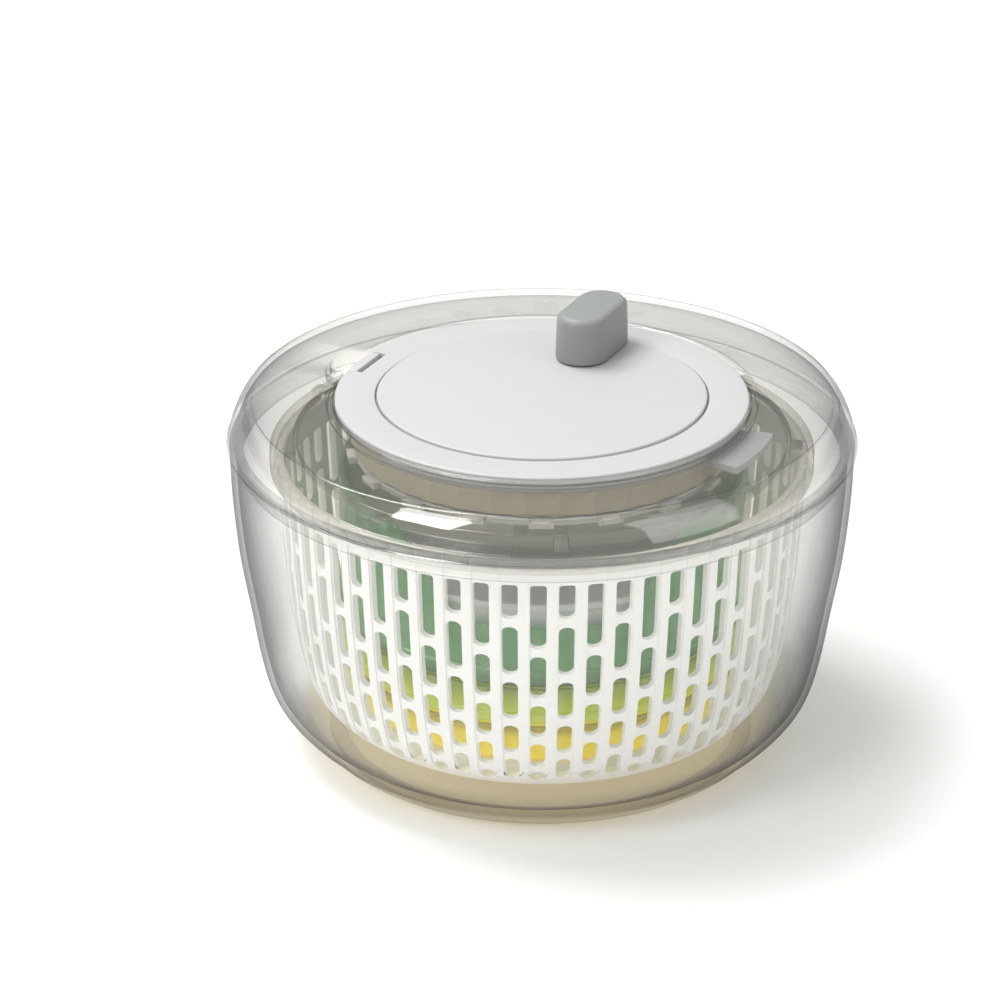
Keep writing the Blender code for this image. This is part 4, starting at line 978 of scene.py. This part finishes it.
@dataclass
class Basket:
    """The slotted basket with the clear drive collar on its rim."""

    side: Outline = field(
        default_factory=lambda: [
            (0.0925, 0.0195), (0.0990, 0.0280), (0.1045, 0.0499), (0.1080, 0.0820), (0.1098, 0.1156),
            (0.1103, 0.1240),
        ]
    )
    wall: float = 0.0038
    columns: int = 60
    slot_share: float = 0.58
    channel_share: float = 0.66
    channel_depth: float = 0.0009
    front_turn: float = math.radians(-0.5)
    hub: float = 0.0123
    socket: float = 0.0091

    def _slot(self, angle: float, low: float, high: float, square: bool) -> Piece:
        """Makes the cutter of one slot, which widens away from the axis.

        Args:
            angle: Where the slot's middle is.
            low: Its bottom.
            high: Its top.
            square: Whether its top is nearly square.

        Returns:
            The cutter.
        """
        near, far = 0.080, 0.120
        half = self.slot_share * math.pi / self.columns * near
        cutter = brick("slot", (near, -half, low), (far, half, high))
        round_size = min(0.97 * half, 0.48 * (high - low))
        along = lambda ends, level: abs(ends[0].z - ends[1].z) < 1e-6 and abs(ends[0].y - ends[1].y) < 1e-6 and abs(ends[0].z - level) < 1e-6
        chosen(cutter, "EDGE", lambda ends: along(ends, low) or (not square and along(ends, high)))
        bpy.ops.mesh.bevel(offset=round_size, segments=5)
        set_down()
        if square:
            chosen(cutter, "EDGE", lambda ends: along(ends, high))
            bpy.ops.mesh.bevel(offset=0.0011, segments=3)
            set_down()
        chosen(cutter, "VERT", lambda point: point.x > (near + far) / 2)
        bpy.ops.transform.resize(value=(1, far / near, 1), center_override=(far, 0, 0))
        bpy.ops.mesh.select_all(action="SELECT")
        bpy.ops.mesh.quads_convert_to_tris()
        set_down()
        return turned_by(cutter, angle)

    def _wall(self) -> Piece:
        """Models the slotted wall as one sector of two columns, copied around."""
        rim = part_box("basket")[1].z
        pitch = 2 * math.pi / self.columns
        curve = flowing(self.side, 4)
        inner = offset_in(curve, self.wall)
        corners = [(radius, height, 0) for radius, height in curve]
        top = curve[-1][0]
        corners += [(top + 0.0002, rim, 0.0012), (top + 0.0002 - self.wall, rim, 0.0012)]
        corners += [(radius, height, 0) for radius, height in inner[::-1]]
        corners[0] = (curve[0][0], curve[0][1], 0)
        corners += [(0.0875, 0.0192, 0.001), (0.0860, 0.0192, 0), (0.0860, 0.0170, 0),
            (0.0895, 0.0170, 0.001)]
        sector = lathed("basket_wall", rounded(corners, 25), 6, 2 * pitch)
        outer = [(radius - self.channel_depth, height) for radius, height in curve[3:]]
        outer += [(top - self.channel_depth, rim + 0.002), (0.118, rim + 0.002), (0.118, outer[0][1])]
        channels, slots = [], []
        for column, turn in ((Column.FIRST, -0.5), (Column.SECOND, 0.5)):
            channels.append(turned_by(lathed("channel", outer, 2, self.channel_share * pitch),
                turn * pitch))
            for number, (low, high) in enumerate(column.value):
                slots.append(self._slot(turn * pitch, low, high, number == 4))
        altered(sector, joined(slots))
        altered(sector, joined(channels))
        sides = [(math.cos(angle), math.sin(angle)) for angle in (pitch, -pitch)]

        def at_side(face: Any) -> bool:
            """Tells whether a face lies in one of the sector's two end planes."""
            for cos, sin in sides:
                off = abs(-face.center.x * sin + face.center.y * cos)
                across = abs(-face.normal.x * sin + face.normal.y * cos)
                if off < 1e-5 and across > 0.99:
                    return True
            return False

        chosen(sector, "FACE", at_side)
        bpy.ops.mesh.delete(type="FACE")
        set_down()
        softened(sector, 0.00035, 2, 42)
        ringed(sector, self.columns // 2)
        return turned_by(sector, -math.pi / 2 + self.front_turn + pitch / 2)

    def build(self) -> None:
        """Models and dresses the basket and its collar."""
        wall = self._wall()
        floor_low, floor_high = 0.0170, 0.0192
        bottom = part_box("basket")[0].z
        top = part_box("basket_bearing")[1].z + 0.0002
        corners = [
            (0.0865, floor_low, 0), (0.0865, floor_high, 0), (0.0865, floor_high + 0.0001, 0),
            (0.0845, 0.0241, 0.0006),
            (0.0830, 0.0241, 0.0006), (0.0825, floor_high, 0.001), (self.hub, floor_high, 0.002),
            (self.hub, top + 0.0022, 0.001), (0.0, top + 0.0022, 0), (0.0, top, 0), (self.socket, top, 0),
            (self.socket, bottom, 0.0003), (self.hub, bottom, 0.0003), (self.hub, floor_low, 0.002),
        ]
        floor = lathed("floor", rounded(corners), 120)
        ribs = []
        for number in range(12):
            rib = brick("rib", (self.hub - 0.0005, -0.0008, floor_high - 0.0004),
                (0.083, 0.0008, floor_high + 0.0022), 0, 0.0005)
            ribs.append(turned_by(rib, number * math.pi / 6))
        whole = joined([wall, floor, *ribs])
        dressed(whole, "basket_wall", Finish.BASKET, "basket", ["basket"], 35)
        self._collar()

    def _collar(self) -> None:
        """Models and dresses the clear collar with its inner teeth and locating lugs."""
        low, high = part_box("drive_collar")
        plate, skirt = 0.1298, 0.1113
        reach = min(high.x, -low.x)
        corners = [
            (0.0790, 0.1273, 0.0004), (skirt - 0.0006, 0.1273, 0.0006), (skirt, low.z, 0.0003),
            (reach, low.z, 0.0006),
            (reach, plate, 0.0010), (0.1032, plate, 0.0005), (0.1032, high.z, 0.0007),
            (0.1016, high.z, 0.0007),
            (0.1016, plate, 0.0005), (0.0790, plate, 0.0004),
        ]
        collar = lathed("drive_collar_clear", rounded(corners, 25), 144)
        half = math.pi / 18
        gap = brick("tooth_gap", (0.070, -0.0037, 0.120), (0.0825, 0.0037, 0.140), half)
        altered(collar, ringed(gap, 18, 0))
        lug = brick("lug", (0.1024, -0.003, 0.1290), (0.1080, 0.003, high.z - 0.0003), 0, 0.0004)
        altered(collar, turned_by(ringed(lug, 9, 0), math.radians(-85.8)), "UNION")
        dressed(collar, "drive_collar_clear", Finish.COLLAR, "basket", ["drive_collar"])


# Cutters ---------------------------------------------------------------------------------------


@dataclass
class Cutters:
    """The three cutter dishes and the food pusher that are stored in the basket."""

    radius: float = 0.0845
    wall: float = 0.0022
    lip: float = 0.0010

    def _dish(self, name: str, neck: float, rim: float) -> Piece:
        """Models a round dish with a lip, and a neck set in below it.

        Args:
            name: The new piece's name.
            neck: The height of the lip's underside above the dish's bottom.
            rim: The height of the rim.

        Returns:
            The dish.
        """
        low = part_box(name)[0].z
        radius, inside = self.radius, self.radius - self.wall
        corners = [(0.0, low, 0), (radius - 0.0012, low, 0.0015)]
        if neck > 0.001:
            corners += [(radius - 0.0012, low + neck, 0.0003),
                (radius + self.lip, low + neck + 0.0003, 0.0004)]
            corners += [(radius + self.lip, low + neck + 0.0017, 0.0004),
                (radius, low + neck + 0.0021, 0.0003)]
        corners += [(radius, rim, 0.0008), (inside, rim, 0.0008), (inside, low + self.wall, 0.002),
            (0.0, low + self.wall, 0)]
        return lathed(name + "_dish", rounded(corners), 144)

    def build(self) -> None:
        """Models and dresses the dishes and the pusher."""
        slicer = self._dish("slicer_insert", 0.0125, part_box("slicer_insert")[1].z)
        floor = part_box("slicer_insert")[0].z
        mouth = brick("mouth", (-0.05, -0.006, floor - 0.001), (0.05, 0.006, floor + 0.004))
        altered(slicer, mouth)
        dressed(softened(slicer, 0.0002, 1, 60), "slicer_dish", Finish.SLICER, "basket", ["slicer_insert"])
        grater = self._dish("grater_insert", 0.0042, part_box("grater_insert")[1].z)
        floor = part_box("grater_insert")[0].z
        altered(grater, brick("window", (-0.042, -0.025, floor - 0.001), (0.042, 0.025, floor + 0.004)))
        dressed(softened(grater, 0.0002, 1, 60), "grater_dish", Finish.GRATER, "basket", ["grater_insert"])
        self._spiral()
        self._pusher()

    def _spiral(self) -> None:
        """Models and dresses the green dish with its two tall ears."""
        low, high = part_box("spiral_insert")
        low_rim = high.z - 0.0365
        dish = self._dish("spiral_insert", 0.0062, high.z)
        flare = flowing(
            [(0.030, low_rim), (0.0345, low_rim + 0.0008), (0.0380, low_rim + 0.0044),
            (0.0405, low_rim + 0.0100),
             (0.0450, low_rim + 0.0180), (0.0520, low_rim + 0.0270), (0.0610, low_rim + 0.0380)], 4
        )
        side = [(x, z) for x, z in flare]
        outline = [(-x, z) for x, z in side[::-1]] + side
        cutter = traced("ear_cut", [(x, -0.1, z) for x, z in outline])
        editing(cutter)
        bpy.ops.mesh.edge_face_add()
        bpy.ops.mesh.extrude_region_move(TRANSFORM_OT_translate={"value": (0, 0.2, 0)})
        bpy.ops.mesh.select_all(action="SELECT")
        bpy.ops.mesh.normals_make_consistent(inside=False)
        set_down()
        altered(dish, cutter)
        bpy.ops.object.select_all(action="DESELECT")
        bpy.ops.mesh.primitive_cylinder_add(vertices=64, radius=0.03, depth=0.006,
            location=(0, 0, low.z + 0.001))
        altered(dish, settled(bpy.context.active_object))
        dressed(softened(dish, 0.0004, 2, 60), "spiral_dish", Finish.SPIRAL, "basket", ["spiral_insert"])

    def _pusher(self) -> None:
        """Models and dresses the smoky food pusher."""
        low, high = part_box("food_pusher")
        radius, inside, grip = 0.080, 0.0778, 0.014
        corners = [
            (0.0, low.z, 0), (radius, low.z, 0.003), (radius, low.z + 0.0150, 0.0004),
            (radius - 0.0006, low.z + 0.0154, 0.0004),
            (radius - 0.0006, high.z - 0.0030, 0.0004), (radius, high.z - 0.0026, 0.0004),
            (radius, high.z, 0.0008),
            (inside, high.z, 0.0008), (inside - 0.001, low.z + 0.0022, 0.003),
            (grip, low.z + 0.0022, 0.003),
            (grip - 0.003, high.z, 0.002), (0.0, high.z, 0),
        ]
        pusher = lathed("pusher_cup", rounded(corners), 128)
        dressed(pusher, "pusher_cup", Finish.PUSHER, "basket", ["food_pusher"])


# Lid -------------------------------------------------------------------------------------------


@dataclass
class Lid:
    """The clear lid with its finger notch."""

    outer: Outline = field(
        default_factory=lambda: [
            (0.1306, 0.1334), (0.1299, 0.1346), (0.1287, 0.1390), (0.1271, 0.1432), (0.1253, 0.1468),
            (0.1234, 0.1494),
        ]
    )
    wall: float = 0.0022
    opening: float = 0.0865
    ledge: float = 0.0835
    bead: float = 0.0894
    notch_angle: float = math.radians(155.6)
    notch_half: float = 0.0135
    notch_reach: float = 0.097
    notch_depth: float = 0.006

    def _notch(self, grow: float, inwards: float) -> Outline:
        """Draws the D of the finger notch.

        Args:
            grow: How far it stands outside the notch's own edge.
            inwards: The radius at which its straight side lies.

        Returns:
            The outline of (x, y).
        """
        half = self.notch_half + grow
        reach = self.notch_reach + grow
        bulge = self.notch_reach - math.sqrt(self.opening**2 - self.notch_half**2)
        arc = [
            (reach - bulge + bulge * math.cos(angle), half * math.sin(angle))
            for angle in [math.pi * (step / 16 - 0.5) for step in range(17)]
        ]
        points = [(inwards, -half), *arc, (inwards, half)]
        cos, sin = math.cos(self.notch_angle), math.sin(self.notch_angle)
        return [(x * cos - y * sin, x * sin + y * cos) for x, y in points]

    def build(self) -> None:
        """Models and dresses the lid."""
        low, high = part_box("lid")
        ridge = high.z
        flat = ridge - 0.0008
        ledge_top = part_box("gear_cover")[1].z - 0.0034
        curve = flowing(self.outer, 3)
        skirt_out, skirt_in = 0.1262, 0.1240
        inner = offset_in(curve, self.wall)
        corners: list[tuple[float, float, float]] = [
            (self.ledge, ledge_top - 0.0020, 0.0004), (self.ledge, ledge_top, 0.0004),
            (self.opening, ledge_top, 0),
            (self.opening, ridge, 0.0005), (self.bead, ridge, 0.0006), (self.bead, flat, 0.0003),
            (0.1192, flat, 0.001), (0.1202, ridge, 0.0006), (0.1222, ridge, 0.0012),
        ]
        corners += [(radius, height, 0) for radius, height in curve[::-1]]
        corners += [
            (0.1306, 0.1332, 0.0), (skirt_out, 0.1332, 0.0002), (skirt_out, low.z, 0.0007),
            (skirt_in, low.z, 0.0007),
            (skirt_in, 0.1345, 0.0006),
        ]
        corners += [(radius, height, 0) for radius, height in inner[3:-1]]
        corners += [
            (0.1200, flat - self.wall, 0.0015), (self.opening + self.wall, flat - self.wall, 0.0010),
            (self.opening + self.wall, ledge_top - 0.0020, 0.0004),
        ]
        lid = lathed("lid_shell", rounded(corners, 22), 176)
        cup = raised("notch_cup", self._notch(0.0016, self.opening - 0.001), flat - self.notch_depth,
            flat - 0.0001)
        altered(lid, cup, "UNION")
        hollow = raised("notch_hollow", self._notch(0.0, 0.0785), flat - self.notch_depth - 0.001,
            ridge + 0.001)
        altered(lid, hollow)
        dressed(softened(lid, 0.00025, 2, 60), "lid_shell", Finish.LID, "lid", ["lid"])


# Drive -----------------------------------------------------------------------------------------


@dataclass
class DriveUnit:
    """The grey cover, the scalloped gear housing and the release catch."""

    cover: float = 0.0855
    sleeve: tuple[float, float] = (0.0795, 0.0822)
    tab_angle: float = math.radians(-25.5)
    tab_span: float = math.radians(11.5)
    tab_reach: float = 0.0969
    scallops: int = 36
    scallop_radius: float = 0.019
    scallop_depth: float = 0.0013
    notch_angle: float = math.radians(155.6)
    catch_half: float = 0.011
    catch_depth: float = 0.005

    def build(self) -> None:
        """Models and dresses the unit's pieces."""
        self._cover()
        self._housing()
        self._catch()

    def _cover(self) -> None:
        """Models and dresses the cover plate with its hinge tab."""
        low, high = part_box("gear_cover")
        top, under = high.z, high.z - 0.0032
        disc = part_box("crank_disc")
        seat = disc[1].x + 0.0008
        seat_top = disc[1].z - 0.0027
        sleeve_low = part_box("housing_screw_1")[1].z - 0.0027
        corners = [
            (seat - 0.006, seat_top - 0.002, 0), (self.sleeve[0], seat_top - 0.002, 0.0004),
            (self.sleeve[0], sleeve_low, 0.0003),
            (self.sleeve[1], sleeve_low, 0.0006), (self.sleeve[1], under, 0.0003),
            (self.cover, under, 0.0005),
            (self.cover, top, 0.0008), (seat, top, 0.0004), (seat, seat_top, 0),
            (seat - 0.006, seat_top, 0),
        ]
        plate = lathed("cover_plate", rounded(corners, 25), 160)
        spread = [self.tab_angle + self.tab_span * (step / 6 - 1) for step in range(13)]
        outline = [(0.0800 * math.cos(angle), 0.0800 * math.sin(angle)) for angle in spread]
        outline += [(self.tab_reach * math.cos(angle),
            self.tab_reach * math.sin(angle)) for angle in spread[::-1]]
        altered(plate, raised("tab", outline, low.z, low.z + 0.0030), "UNION")
        pocket = (self.cover - self.catch_depth - 0.0027, self.cover + 0.002)
        half = self.catch_half + 0.0003
        altered(plate,
            brick("pocket", (pocket[0], -half, under - 0.001), (pocket[1], half, top + 0.001),
            self.notch_angle))
        altered(plate,
            brick("passage", (seat + 0.002, -0.0052, sleeve_low - 0.001), (0.09, 0.0052, under + 0.0005),
            self.notch_angle))
        dressed(softened(plate, 0.0003, 2, 50), "cover_plate", Finish.COVER, "drive_unit", ["gear_cover"])

    def _housing(self) -> None:
        """Models and dresses the housing from one scalloped sector."""
        low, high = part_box("gear_housing")
        radius = high.x
        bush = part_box("shaft_bush")[1].x
        corners = [
            (radius, low.z, 0.0006), (radius, high.z, 0.0006), (radius - 0.0030, high.z, 0.0004),
            (radius - 0.0030, 0.1345, 0.001),
            (0.0121, 0.1345, 0.0004), (0.0121, 0.1328, 0.0004), (radius - 0.0032, 0.1328, 0.0006),
            (radius - 0.0032, low.z, 0.0004),
        ]
        corners[4] = (max(bush, 0.0121) * 0.62, 0.1345, 0.0002)
        corners[5] = (max(bush, 0.0121) * 0.62, 0.1328, 0.0002)
        angle = 2 * math.pi / self.scallops
        sector = lathed("housing", rounded(corners, 30), 4, angle)
        bpy.ops.object.select_all(action="DESELECT")
        away = radius - self.scallop_depth + self.scallop_radius
        bpy.ops.mesh.primitive_cylinder_add(vertices=144, radius=self.scallop_radius, depth=0.04,
            location=(away, 0, 0.137))
        altered(sector, settled(bpy.context.active_object))
        half = angle / 2

        def at_side(face: Any) -> bool:
            """Tells whether a face lies in one of the sector's two end planes."""
            return any(
                abs(-face.center.x * math.sin(turn) + face.center.y * math.cos(turn)) < 1e-5
                and abs(-face.normal.x * math.sin(turn) + face.normal.y * math.cos(turn)) > 0.99
                for turn in (half, -half)
            )

        chosen(sector, "FACE", at_side)
        bpy.ops.mesh.delete(type="FACE")
        set_down()
        ringed(sector, self.scallops)
        dressed(sector, "housing_skirt", Finish.HOUSING, "drive_unit", ["gear_housing"], 25)

    def _catch(self) -> None:
        """Models and dresses the release catch: a D of the cover's rim with a guide stem under it."""
        low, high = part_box("release_latch")
        slot = self.cover - self.catch_depth
        reach = self.cover - 0.0002
        sweep = math.asin(self.catch_half / reach)
        edge = [(slot, self.catch_half), (slot, -self.catch_half)]
        edge += [(reach * math.cos(a),
            reach * math.sin(a)) for a in [sweep * (step / 8 - 1) for step in range(17)]]
        plate = raised("catch", edge, high.z - 0.0040, high.z)
        turned_by(plate, self.notch_angle)
        softened(plate, 0.0006, 3, 50)
        stem = brick("stem", (0.0705, -0.0048, high.z - 0.0066), (0.0830, 0.0048, high.z - 0.0042),
            self.notch_angle, 0.0003)
        riser = brick("riser", (slot + 0.0005, -0.005, high.z - 0.0064),
            (self.cover - 0.002, 0.005, high.z - 0.001), self.notch_angle)
        leg = brick("leg", (0.0705, -0.0046, low.z), (0.0735, 0.0046, high.z - 0.0044), self.notch_angle,
            0.0003)
        altered(plate, riser, "UNION")
        altered(plate, stem, "UNION")
        altered(plate, leg, "UNION")
        dressed(plate, "release_catch", Finish.CATCH, "latch", ["release_latch"])


@dataclass
class Crank:
    """The turning disc and the knob on it."""

    knob_length: float = 0.043
    knob_width: float = 0.0224
    knob_orbit: float = 0.0508
    knob_angle: float = math.radians(65.5)
    knob_edge: float = 0.0030
    knob_taper: float = 0.965

    def build(self) -> None:
        """Models and dresses the disc and the knob."""
        low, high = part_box("crank_disc")
        radius = high.x
        bore = 0.0054
        hub = 0.0098
        corners = [
            (0.0, high.z, 0), (0.0, high.z - 0.0027, 0), (hub, high.z - 0.0027, 0.0003),
            (radius, high.z - 0.0025, 0.0005),
            (radius, high.z, 0.0007),
        ]
        disc = lathed("turning_disc", rounded(corners, 20), 176)
        collar = lathed(
            "hub", rounded([(bore, low.z, 0), (hub, low.z, 0.0004), (hub, high.z - 0.002, 0),
            (bore, high.z - 0.002, 0)]), 64
        )
        altered(disc, collar, "UNION")
        dressed(disc, "turning_disc", Finish.COVER, "crank", ["crank_disc"])
        self._knob()

    def _knob(self) -> None:
        """Models and dresses the long round-ended knob."""
        low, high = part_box("knob")
        half = self.knob_width / 2
        run = (self.knob_length - self.knob_width) / 2
        outline: Outline = []
        for end in (1, -1):
            for step in range(17):
                angle = math.pi * (step / 16 - 0.5) + (0 if end > 0 else math.pi)
                outline.append((end * run + half * math.cos(angle), half * math.sin(angle)))
        knob = raised("grip", outline, low.z, high.z)
        chosen(knob, "VERT", lambda point: point.z > (low.z + high.z) / 2)
        bpy.ops.transform.resize(value=(self.knob_taper, self.knob_taper, 1),
            center_override=(0, 0, high.z))
        set_down()
        chosen(knob, "EDGE", lambda ends: min(end.z for end in ends) > high.z - 1e-5)
        bpy.ops.mesh.bevel(offset=self.knob_edge, segments=5)
        set_down()
        chosen(knob, "EDGE", lambda ends: max(end.z for end in ends) < low.z + 1e-5)
        bpy.ops.mesh.bevel(offset=0.0005, segments=2)
        set_down()
        knob.rotation_euler.z = self.knob_angle
        knob.location = (self.knob_orbit * math.cos(self.knob_angle),
            self.knob_orbit * math.sin(self.knob_angle), 0)
        dressed(settled(knob), "grip", Finish.KNOB, "knob", ["knob"], 40)


# Kept nodes ------------------------------------------------------------------------------------


@dataclass
class Works:
    """The gears, axles, screws and blades, which keep their own meshes and get their finishes."""

    steel: tuple[str, ...] = (
        "slicer_blade", "grater_plate", "spiral_blade", "housing_screw_1", "housing_screw_2",
        "housing_screw_3",
        "housing_screw_4", "knob_pin", "knob_clip", "planet_axle_1", "planet_axle_2", "planet_axle_3",
        "rotor_screw",
        "thrust_washer", "latch_spring",
    )
    white: tuple[str, ...] = (
        "basket_bearing", "ring_gear", "planet_gear_1", "planet_gear_2", "planet_gear_3", "sun_gear",
        "output_shaft",
        "drive_rotor",
    )
    bronze: tuple[str, ...] = ("shaft_bush",)

    def dress(self, nodes: dict[str, Piece]) -> None:
        """Gives each kept node its finish.

        Args:
            nodes: The frame's nodes by name.
        """
        for names, finish in ((self.steel, Finish.STEEL), (self.white, Finish.GEARS),
            (self.bronze, Finish.BRONZE)):
            for name in names:
                mesh = nodes[name].data
                mesh.materials.clear()
                mesh.materials.append(finish_of(finish))
                log.info("%s keeps its mesh, in %s", name, finish.slot)


# Studio ----------------------------------------------------------------------------------------


@dataclass
class Studio:
    """The pale floor, the soft lights and the camera."""

    camera_at: tuple[float, float, float] = (0.0, -1.291, 0.691)
    aim: tuple[float, float, float] = (-0.0171, -0.0170, 0.1103)
    lens: float = 122.0
    key_at: tuple[float, float, float] = (-1.25, 0.75, 2.95)
    key_size: float = 1.7
    key_power: float = 84.0
    front_at: tuple[float, float, float] = (-1.5, -1.5, 1.7)
    front_power: float = 22.0
    fill_power: float = 9.0

    def _softbox(self, name: str, place: Sequence[float], size: float, power: float) -> None:
        """Adds a square light that faces the object.

        Args:
            name: The light's name.
            place: Where it stands.
            size: Its width.
            power: Its power in watts.
        """
        bpy.ops.object.select_all(action="DESELECT")
        bpy.ops.object.light_add(type="AREA", location=place)
        light = bpy.context.active_object
        light.name = name
        light.data.shape = "SQUARE"
        light.data.size = size
        light.data.energy = power
        target = Vector((0.0, 0.0, 0.08))
        light.rotation_euler = (target - Vector(place)).to_track_quat("-Z", "Y").to_euler()

    def _surroundings(self) -> None:
        """Makes the room: a soft grey, darkest a little above the horizon, for the clear parts to mirror."""
        world = bpy.data.worlds.new("room")
        bpy.context.scene.world = world
        world.use_nodes = True
        tree = world.node_tree
        tree.nodes.clear()
        where = tree.nodes.new("ShaderNodeTexCoord")
        split = tree.nodes.new("ShaderNodeSeparateXYZ")
        ramp = tree.nodes.new("ShaderNodeValToRGB")
        stops = ((0.0, 0.60), (0.45, 0.42), (0.56, 0.34), (0.70, 0.52), (1.0, 0.66))
        while len(ramp.color_ramp.elements) < len(stops):
            ramp.color_ramp.elements.new(1.0)
        for stop, (position, level) in zip(ramp.color_ramp.elements, stops):
            stop.position = position
            stop.color = (level, level, level, 1.0)
        scale = tree.nodes.new("ShaderNodeMath")
        scale.operation = "MULTIPLY_ADD"
        scale.inputs[1].default_value = 0.5
        scale.inputs[2].default_value = 0.5
        light = tree.nodes.new("ShaderNodeBackground")
        out = tree.nodes.new("ShaderNodeOutputWorld")
        tree.links.new(where.outputs["Generated"], split.inputs[0])
        tree.links.new(split.outputs[2], scale.inputs[0])
        tree.links.new(scale.outputs[0], ramp.inputs[0])
        tree.links.new(ramp.outputs[0], light.inputs[0])
        tree.links.new(light.outputs[0], out.inputs[0])

    def build(self) -> None:
        """Adds the floor, the lights and the camera."""
        bpy.ops.object.select_all(action="DESELECT")
        bpy.ops.mesh.primitive_plane_add(size=14, location=(0, 0, 0))
        floor = bpy.context.active_object
        floor.name = "floor"
        graph = Graph("floor_white")
        shader = graph.add(
            "ShaderNodeBsdfPrincipled",
            None,
            {"Base Color": (0.94, 0.935, 0.925), "Roughness": 0.7, "Specular IOR Level": 0.1},
        )
        floor.data.materials.append(graph.done(shader.outputs[0]))
        self._surroundings()
        self._softbox("key", self.key_at, self.key_size, self.key_power)
        self._softbox("front", self.front_at, 1.0, self.front_power)
        self._softbox("fill", (1.9, -1.3, 1.3), 1.6, self.fill_power)
        bpy.ops.object.select_all(action="DESELECT")
        bpy.ops.object.camera_add(location=self.camera_at)
        camera = bpy.context.active_object
        direction = Vector(self.aim) - Vector(self.camera_at)
        camera.rotation_euler = direction.to_track_quat("-Z", "Y").to_euler()
        camera.data.lens = self.lens
        camera.data.sensor_width = 36.0
        bpy.context.scene.camera = camera
        bpy.context.scene.view_settings.view_transform = "Standard"


def main() -> None:
    """Loads the frame, builds each sub-assembly in order and reports it."""
    logging.basicConfig(level=logging.INFO, format="%(name)s: %(message)s")
    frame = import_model()
    bpy.ops.object.select_all(action="DESELECT")
    for part in (Bowl(), Basket(), Cutters(), Lid(), DriveUnit(), Crank()):
        part.build()
        log.info("%s is built", type(part).__name__)
    Works().dress(frame["nodes"])
    Studio().build()


if __name__ == "__main__":
    main()
